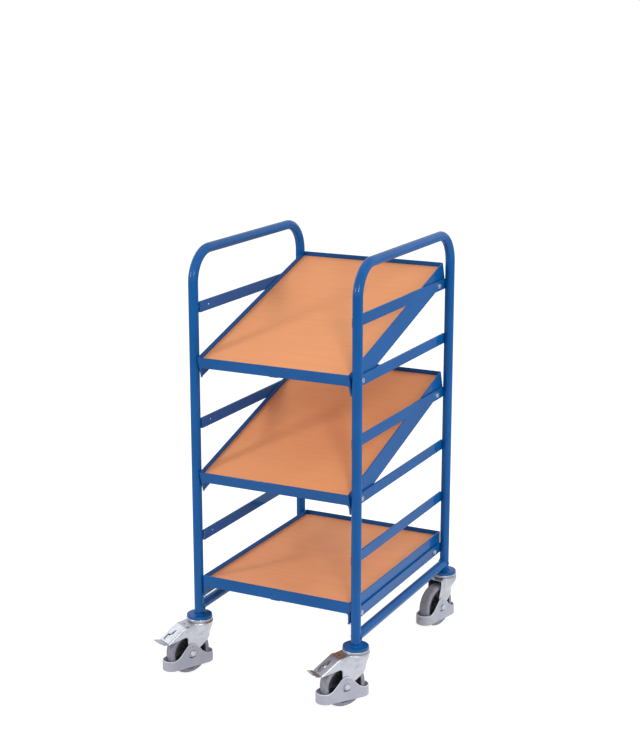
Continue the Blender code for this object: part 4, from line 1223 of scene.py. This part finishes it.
def mark_rim_highlight(caster, mesh):
    """Marks a guard's points with their share of the painted highlight along its rim: eased from 0 to 1 just
    under its upper edge.
    """
    spots = np.empty(3 * len(mesh.vertices))
    mesh.vertices.foreach_get("co", spots)
    _, y, z = spots.reshape(-1, 3).T
    edge = np.interp(np.abs(y + caster.trail), *guard_edge(caster))
    share = smooth((z - edge + RIM_HIGHLIGHT_DEPTH) / RIM_HIGHLIGHT_EASE)
    mesh.attributes.new(GUARD_RIM_HIGHLIGHT, "FLOAT", "POINT").data.foreach_set("value", share)


class CART_OT_foot_guards(bpy.types.Operator):
    """Builds the moulded foot guards: axle bore, crescent slots, sight hole, and vents at the rear pair"""

    bl_idname = "cart.foot_guards"
    bl_label = "Foot guards"

    def execute(self, context):
        caster = context.scene.caster_sizes
        bores = [cross_bore(caster, caster.axle_radius + BORE_PLAY)]
        bores.append(cross_bore(caster, SIGHT_RADIUS, 16, SIGHT_LIFT))
        cuts = bores + [crescent(caster, 1), crescent(caster, -1)]
        vents = [vent(caster, lift) for lift in VENT_LIFTS]
        skin = mesh_from([guard_skin(caster)])
        for cutters, corners in ((cuts, FRONT_CORNERS), (cuts + vents, REAR_CORNERS)):
            guard = finished(skin, cutters)
            # Marks where the painted highlight goes along the guard's upper rim
            mark_rim_highlight(caster, guard)
            for corner in corners:
                add_piece(f"foot_guard_{corner}", guard, GUARD, caster_place(corner))
        return {"FINISHED"}


CROWN_SHARE, CROWN_POWER, SEAT_SHARE = 0.62, 0.62, 0.96
TYRE_LINE, TYRE_LINE_PLACE, TYRE_LINE_HALF = 0.00035, 0.82, 0.05
RIM_LIP, RIM_WEB, RIM_STEP = 0.004, 0.006, 0.003
LIP_OUTER, LIP_INNER, HUB_CHAMFER = 0.0012, 0.0008, 0.001
RIB_HEIGHT, RIB_POWER, RIB_DIP = 0.0065, 14, 0.25
RIB_INNER_EASE, RIB_OUTER_EASE, RIB_OVERLAP = 0.006, 0.004, 0.002


def tyre_profile(caster):
    """A tyre's section: a rounded crown, from a circle with its sine and cosine drawn to a power below 1."""
    half, depth = caster.tyre_width / 2, caster.tyre_depth
    turn = np.radians(np.linspace(-90, 90, 41))
    across = half * np.sign(np.sin(turn)) * np.abs(np.sin(turn)) ** CROWN_POWER
    radius = caster.wheel_radius - depth * CROWN_SHARE + depth * CROWN_SHARE * np.cos(turn) ** CROWN_POWER
    line = TYRE_LINE * (np.abs(np.abs(across) - half * TYRE_LINE_PLACE) < half * TYRE_LINE_HALF)
    seat, edge = caster.wheel_radius - depth, half * SEAT_SHARE
    return chain([(seat, -edge)], columns(radius - line, across), [(seat, edge)])


def rim_surface(caster):
    """A dished rim turned about Z: between hub and lip its web is raised towards each of eight ribs.

    A rib is a high power of a cosine round the wheel, so it is narrow with soft flanks.
    """
    outer, half = caster.wheel_radius - caster.tyre_depth - GAP, caster.tyre_width / 2
    hub, end, bore = caster.hub_radius, caster.hub_length / 2, caster.axle_radius + BORE_PLAY
    inner = outer - 2 * RIM_LIP
    faces = chain(
        [(outer, 0), (outer, half - LIP_OUTER)],
        arc((outer - LIP_OUTER, half - LIP_OUTER), LIP_OUTER, 0, 90, 3)[1:],
        arc((outer - RIM_LIP + LIP_INNER, half - LIP_INNER), LIP_INNER, 90, 180, 3),
        columns(np.linspace(inner, hub + RIM_LIP / 2, 16), RIM_WEB),
        [(hub, RIM_WEB + RIM_STEP), (hub, end - HUB_CHAMFER), (hub - HUB_CHAMFER, end), (bore, end)],
    )
    radius, height = chain(faces, faces[:0:-1] * (1, -1)).T
    angle = turns(192)[:, None]
    on_web = np.abs(np.abs(height) - RIM_WEB) < SAME_POINT
    taper = smooth((radius - hub) / RIB_INNER_EASE)
    taper = taper * smooth((inner + RIB_OVERLAP - radius) / RIB_OUTER_EASE) * RIB_DIP + 1 - RIB_DIP
    rib = np.abs(np.cos(4 * angle)) ** RIB_POWER * on_web * taper
    return spun(radius, height + np.sign(height) * rib * RIB_HEIGHT, angle, True)


class CART_OT_wheels(bpy.types.Operator):
    """Builds the grey tyres and the black ribbed rims"""

    bl_idname = "cart.wheels"
    bl_label = "Wheels"

    def execute(self, context):
        caster = context.scene.caster_sizes
        tyre = mesh_from([lathe(tyre_profile(caster), 144, True)])
        rim = mesh_from([rim_surface(caster)])
        for corner in CORNERS:
            place = axle_place(corner)
            add_piece(f"tyre_{corner}", tyre, RUBBER, place)
            add_piece(f"wheel_rim_{corner}", rim, RIM, place)
        return {"FINISHED"}


AXLE_FACE, AXLE_HEAD_ROOM, AXLE_WASHER = 0.0010, 0.006, 0.0008
AXLE_RING, AXLE_NUT, AXLE_TURN = 0.56, 0.82, 0.3
AXLE_THREAD, AXLE_THREAD_START, AXLE_THREAD_RUN = 0.88, 0.5, 0.42


class CART_OT_axles(bpy.types.Operator):
    """Builds the axle bolts: a head and washer on one guard face, a nut and thread end on the other"""

    bl_idname = "cart.axles"
    bl_label = "Axles"

    def execute(self, context):
        caster = context.scene.caster_sizes
        radius, flats, face = caster.axle_radius, caster.axle_flats, caster.guard_half + AXLE_FACE
        height = AXLE_HEAD_ROOM - AXLE_FACE - AXLE_WASHER
        ring = washer(flats * AXLE_RING, radius, AXLE_WASHER)
        out, flip, seat = at(0, 0, face), HALF_TURN @ at(0, 0, face), at(0, 0, AXLE_WASHER)
        surfaces = moved([ring], out) + moved([hexagon(radius, flats, height)], out @ seat)
        surfaces.append(lathe([(radius, -face), (radius, face)], 40))
        surfaces += moved([ring], flip) + moved([hexagon(radius, flats, height * AXLE_NUT)], flip @ seat)
        thread = threaded_end(radius * AXLE_THREAD, height * AXLE_THREAD_START, height * AXLE_THREAD_RUN)
        surfaces += moved([thread], flip)
        axle = mesh_from(surfaces)
        for index, corner in enumerate(CORNERS):
            turn = Matrix.Rotation(AXLE_TURN + index, 4, "Z")
            add_piece(f"axle_{corner}", axle, ZINC, axle_place(corner) @ turn)
        return {"FINISHED"}


PEDAL_PIN = (0.020, 0.009)
PEDAL_PIN_RADIUS = 0.002
SLEEVE_HALF, SLEEVE_FACE, SLEEVE_RADIUS, SLEEVE_CHAMFER = 0.0182, 0.0030, 0.0035, 0.0005
PEDAL_SHEET, PEDAL_WALL, PEDAL_EDGE, PEDAL_GAP = 0.0025, 0.0023, 0.0006, 0.0012
PEDAL_LIP, PEDAL_RISE, PEDAL_CURL = 0.020, 0.0060, 2.2
PEDAL_ARM, PEDAL_FLARE, PEDAL_WIDENING, PEDAL_CORNER = 0.0168, 0.0080, 0.10, 0.006
PEDAL_DISH, PEDAL_DISH_HALF = 0.0012, 0.025


def pedal_pin(caster):
    """The pedal's pin in its caster's frame: its place along Y and its height above the floor."""
    y = np.array(PEDAL_PIN[0] - caster.hood_reach)
    return y, float(hood_top(caster, y)) - PEDAL_PIN[1]


def pedal_sheet(caster):
    """Centre sheet of the brake pedal in its hinge's frame.

    It runs straight from the pin to just past the hood, then curls up along an eased lip. Its half width
    grows from the arm to the lip and is rounded off at the tip by a quarter circle.
    """
    run, corner = PEDAL_PIN[0], PEDAL_CORNER
    elbow = caster.hood_end - caster.fork_sheet - PEDAL_GAP - PEDAL_SHEET / 2 - pedal_pin(caster)[1]
    arm, share = np.linspace(0, 1, 12), np.linspace(0, 1, 26)[1:]
    y = chain(-run * arm, -run - PEDAL_SHEET - PEDAL_LIP * share)[:, None]
    z = chain(elbow * arm, elbow + PEDAL_RISE * share**PEDAL_CURL)[:, None]
    width = PEDAL_ARM + PEDAL_FLARE * smooth(chain(0 * arm, share / PEDAL_WIDENING))[:, None]
    from_tip = np.maximum(corner - (y - y[-1]), 0)
    width = width - (corner - np.sqrt(np.maximum(corner**2 - from_tip**2, 0)))
    x = width * np.linspace(-1, 1, 25)
    dish = PEDAL_DISH * (x / PEDAL_DISH_HALF) ** 2 * (y < -run)
    return grid(np.stack([x, y + 0 * x, z + dish], axis=-1))


class CART_OT_brake_pedals(bpy.types.Operator):
    """Builds the brake pedals: a curled lip on an arm, with a sleeve and pin at the hinge"""

    bl_idname = "cart.brake_pedals"
    bl_label = "Brake pedals"

    def execute(self, context):
        caster = context.scene.caster_sizes
        sheet = finished(mesh_from([pedal_sheet(caster)]), sheet=PEDAL_WALL, edge=PEDAL_EDGE)
        rims = [(0, -SLEEVE_HALF), (SLEEVE_FACE, -SLEEVE_HALF)]
        rims.append((SLEEVE_RADIUS, SLEEVE_CHAMFER - SLEEVE_HALF))
        sleeve = lathe(rims + [(radius, -x) for radius, x in reversed(rims)], 32)
        y, height = pedal_pin(caster)
        reach = float(fork_half(caster, y, hood_top(caster, y), height))
        pin = rod(PEDAL_PIN_RADIUS, -reach, reach, 24)
        pedal = joined(sheet, mesh_from(moved([sleeve, pin], ALONG_AXLE)))
        for corner in FRONT_CORNERS:
            hinge = caster_place(corner)
            hinge.translation = JOINTS[f"brake_{corner}"]["pos_m"]
            add_piece(f"brake_pedal_{corner}", pedal, ZINC, hinge)
        return {"FINISHED"}


WHITE, FLOOR_SEEN, FLOOR_PLAIN = (1, 1, 1, 1), (0.40, 0.40, 0.40, 1), (0.64, 0.64, 0.64, 1)
FLOOR_GLOW, FLOOR_DROP = 0.84, 0.0006
FLOOR_FADE = {"From Min": 1.5, "From Max": 0.5}
AIM = MIDDLE + Vector((0, 0, 0.65))
LAMPS = {
    "key_box": ((1.9, -2.7, 2.2), (0.5, 0.9), 34.0),
    "fill_box": ((-2.0, -3.0, 2.0), (0.5, 0.9), 40.0),
    "right_box": ((3.0, 0.3, 1.3), (1.6, 2.2), 44.0),
    "left_box": ((-2.7, 0.5, 2.0), (1.3, 1.6), 7.0),
    "top_box": ((0.2, 0.2, 4.2), (2.6, 2.6), 9.0),
}


def set_world(stage):
    """Even light all round, which is plain white where it is seen."""
    world = bpy.data.worlds.new("studio")
    bpy.context.scene.world = world
    world.use_nodes = True
    nodes = Nodes(world.node_tree)
    background = nodes.tree.nodes["Background"]
    nodes.feed(background.inputs["Color"], WHITE)
    seen = nodes.ray_share(stage.sky_mirrored)
    nodes.feed(background.inputs["Strength"], seen * (1 - stage.sky) + stage.sky)


def set_floor(stage):
    """A wide pale floor just under the wheels that looks white and keeps a soft shadow.

    Gloss shows it white round the cart, and plain far away from it.
    """
    spread = np.linspace(-stage.floor_half, stage.floor_half, 9)
    x, y = np.meshgrid(spread, spread, indexing="ij")
    floor = linked("floor", mesh_from([grid(np.stack([x, y, 0 * x - FLOOR_DROP], axis=-1))]))
    finish = Finish("pale_floor", Base_Color=FLOOR_SEEN, Roughness=0.9, Specular_IOR_Level=0.0)
    finish.set(Emission_Color=WHITE, Emission_Strength=FLOOR_GLOW)
    spot = finish.node("ShaderNodeTexCoord", output="Object")
    away = finish.node("ShaderNodeVectorMath", {0: spot}, "Value", operation="LENGTH")
    share = finish.ray_share(finish.node("ShaderNodeMapRange", {"Value": away, **FLOOR_FADE}))
    plain = finish.node("ShaderNodeBsdfDiffuse", {"Color": FLOOR_PLAIN})
    seen = Term(finish, finish.shader.outputs[0])
    mixed = finish.node("ShaderNodeMixShader", {0: share, 1: plain, 2: seen})
    finish.feed(finish.tree.nodes["Material Output"].inputs["Surface"], mixed)
    floor.data.materials.append(finish.material)


def set_lamps():
    """Soft boxes aimed at the cart's middle; the one on the right is hidden from gloss."""
    for name, (place, size, power) in LAMPS.items():
        light = bpy.data.lights.new(name, "AREA")
        light.shape = "RECTANGLE"
        light.size, light.size_y = size
        light.energy = power
        lamp = linked(name, light)
        lamp.location = MIDDLE.xy.to_3d() + Vector(place)
        lamp.rotation_euler = (AIM - lamp.location).to_track_quat("-Z", "Y").to_euler()
        lamp.visible_glossy = name != "right_box"


def set_camera(stage):
    """The camera at the photograph's viewing angle."""
    data = bpy.data.cameras.new("camera")
    data.lens = stage.lens
    data.sensor_width = 36.0
    camera = linked("camera", data)
    camera.location = MIDDLE.xy.to_3d() + Vector(stage.camera_place)
    camera.rotation_euler = (stage.camera_tilt, 0, stage.camera_turn)
    bpy.context.scene.camera = camera


class CART_OT_stage(bpy.types.Operator):
    """Sets the floor, light and camera"""

    bl_idname = "cart.stage"
    bl_label = "Stage"

    def execute(self, context):
        stage = context.scene.cart_stage
        set_world(stage)
        set_floor(stage)
        set_lamps()
        set_camera(stage)
        context.scene.view_settings.view_transform = "Standard"
        return {"FINISHED"}


OPERATORS = (
    CART_OT_finishes,
    CART_OT_side_frames,
    CART_OT_trays,
    CART_OT_tray_bolts,
    CART_OT_swivel_heads,
    CART_OT_forks,
    CART_OT_foot_guards,
    CART_OT_wheels,
    CART_OT_axles,
    CART_OT_brake_pedals,
    CART_OT_stage,
)
GROUPS = {
    "cart_sizes": CartSizes,
    "caster_sizes": CasterSizes,
    "cart_colours": CartColours,
    "cart_stage": StageSettings,
}


class CART_PT_panel(bpy.types.Panel):
    """Sizes, colours and building steps of the cart"""

    bl_idname = "CART_PT_panel"
    bl_label = "Sloped shelf cart"
    bl_space_type = "VIEW_3D"
    bl_region_type = "UI"
    bl_category = "Cart"

    def draw(self, context):
        for name, group in GROUPS.items():
            settings = getattr(context.scene, name)
            for key in group.__annotations__:
                self.layout.prop(settings, key)
        for operator in OPERATORS:
            self.layout.operator(operator.bl_idname)


def register():
    """Registers the classes and hangs the settings on the scene."""
    for cls in (*GROUPS.values(), *OPERATORS, CART_PT_panel):
        bpy.utils.register_class(cls)
    for name, group in GROUPS.items():
        setattr(bpy.types.Scene, name, PointerProperty(type=group))


def unregister():
    """Takes the settings and classes away again."""
    for name in GROUPS:
        delattr(bpy.types.Scene, name)
    for cls in (CART_PT_panel, *reversed(OPERATORS), *reversed(GROUPS.values())):
        bpy.utils.unregister_class(cls)


def main():
    register()
    for operator in OPERATORS:
        family, step = operator.bl_idname.split(".")
        getattr(getattr(bpy.ops, family), step)()


if __name__ == "__main__":
    main()
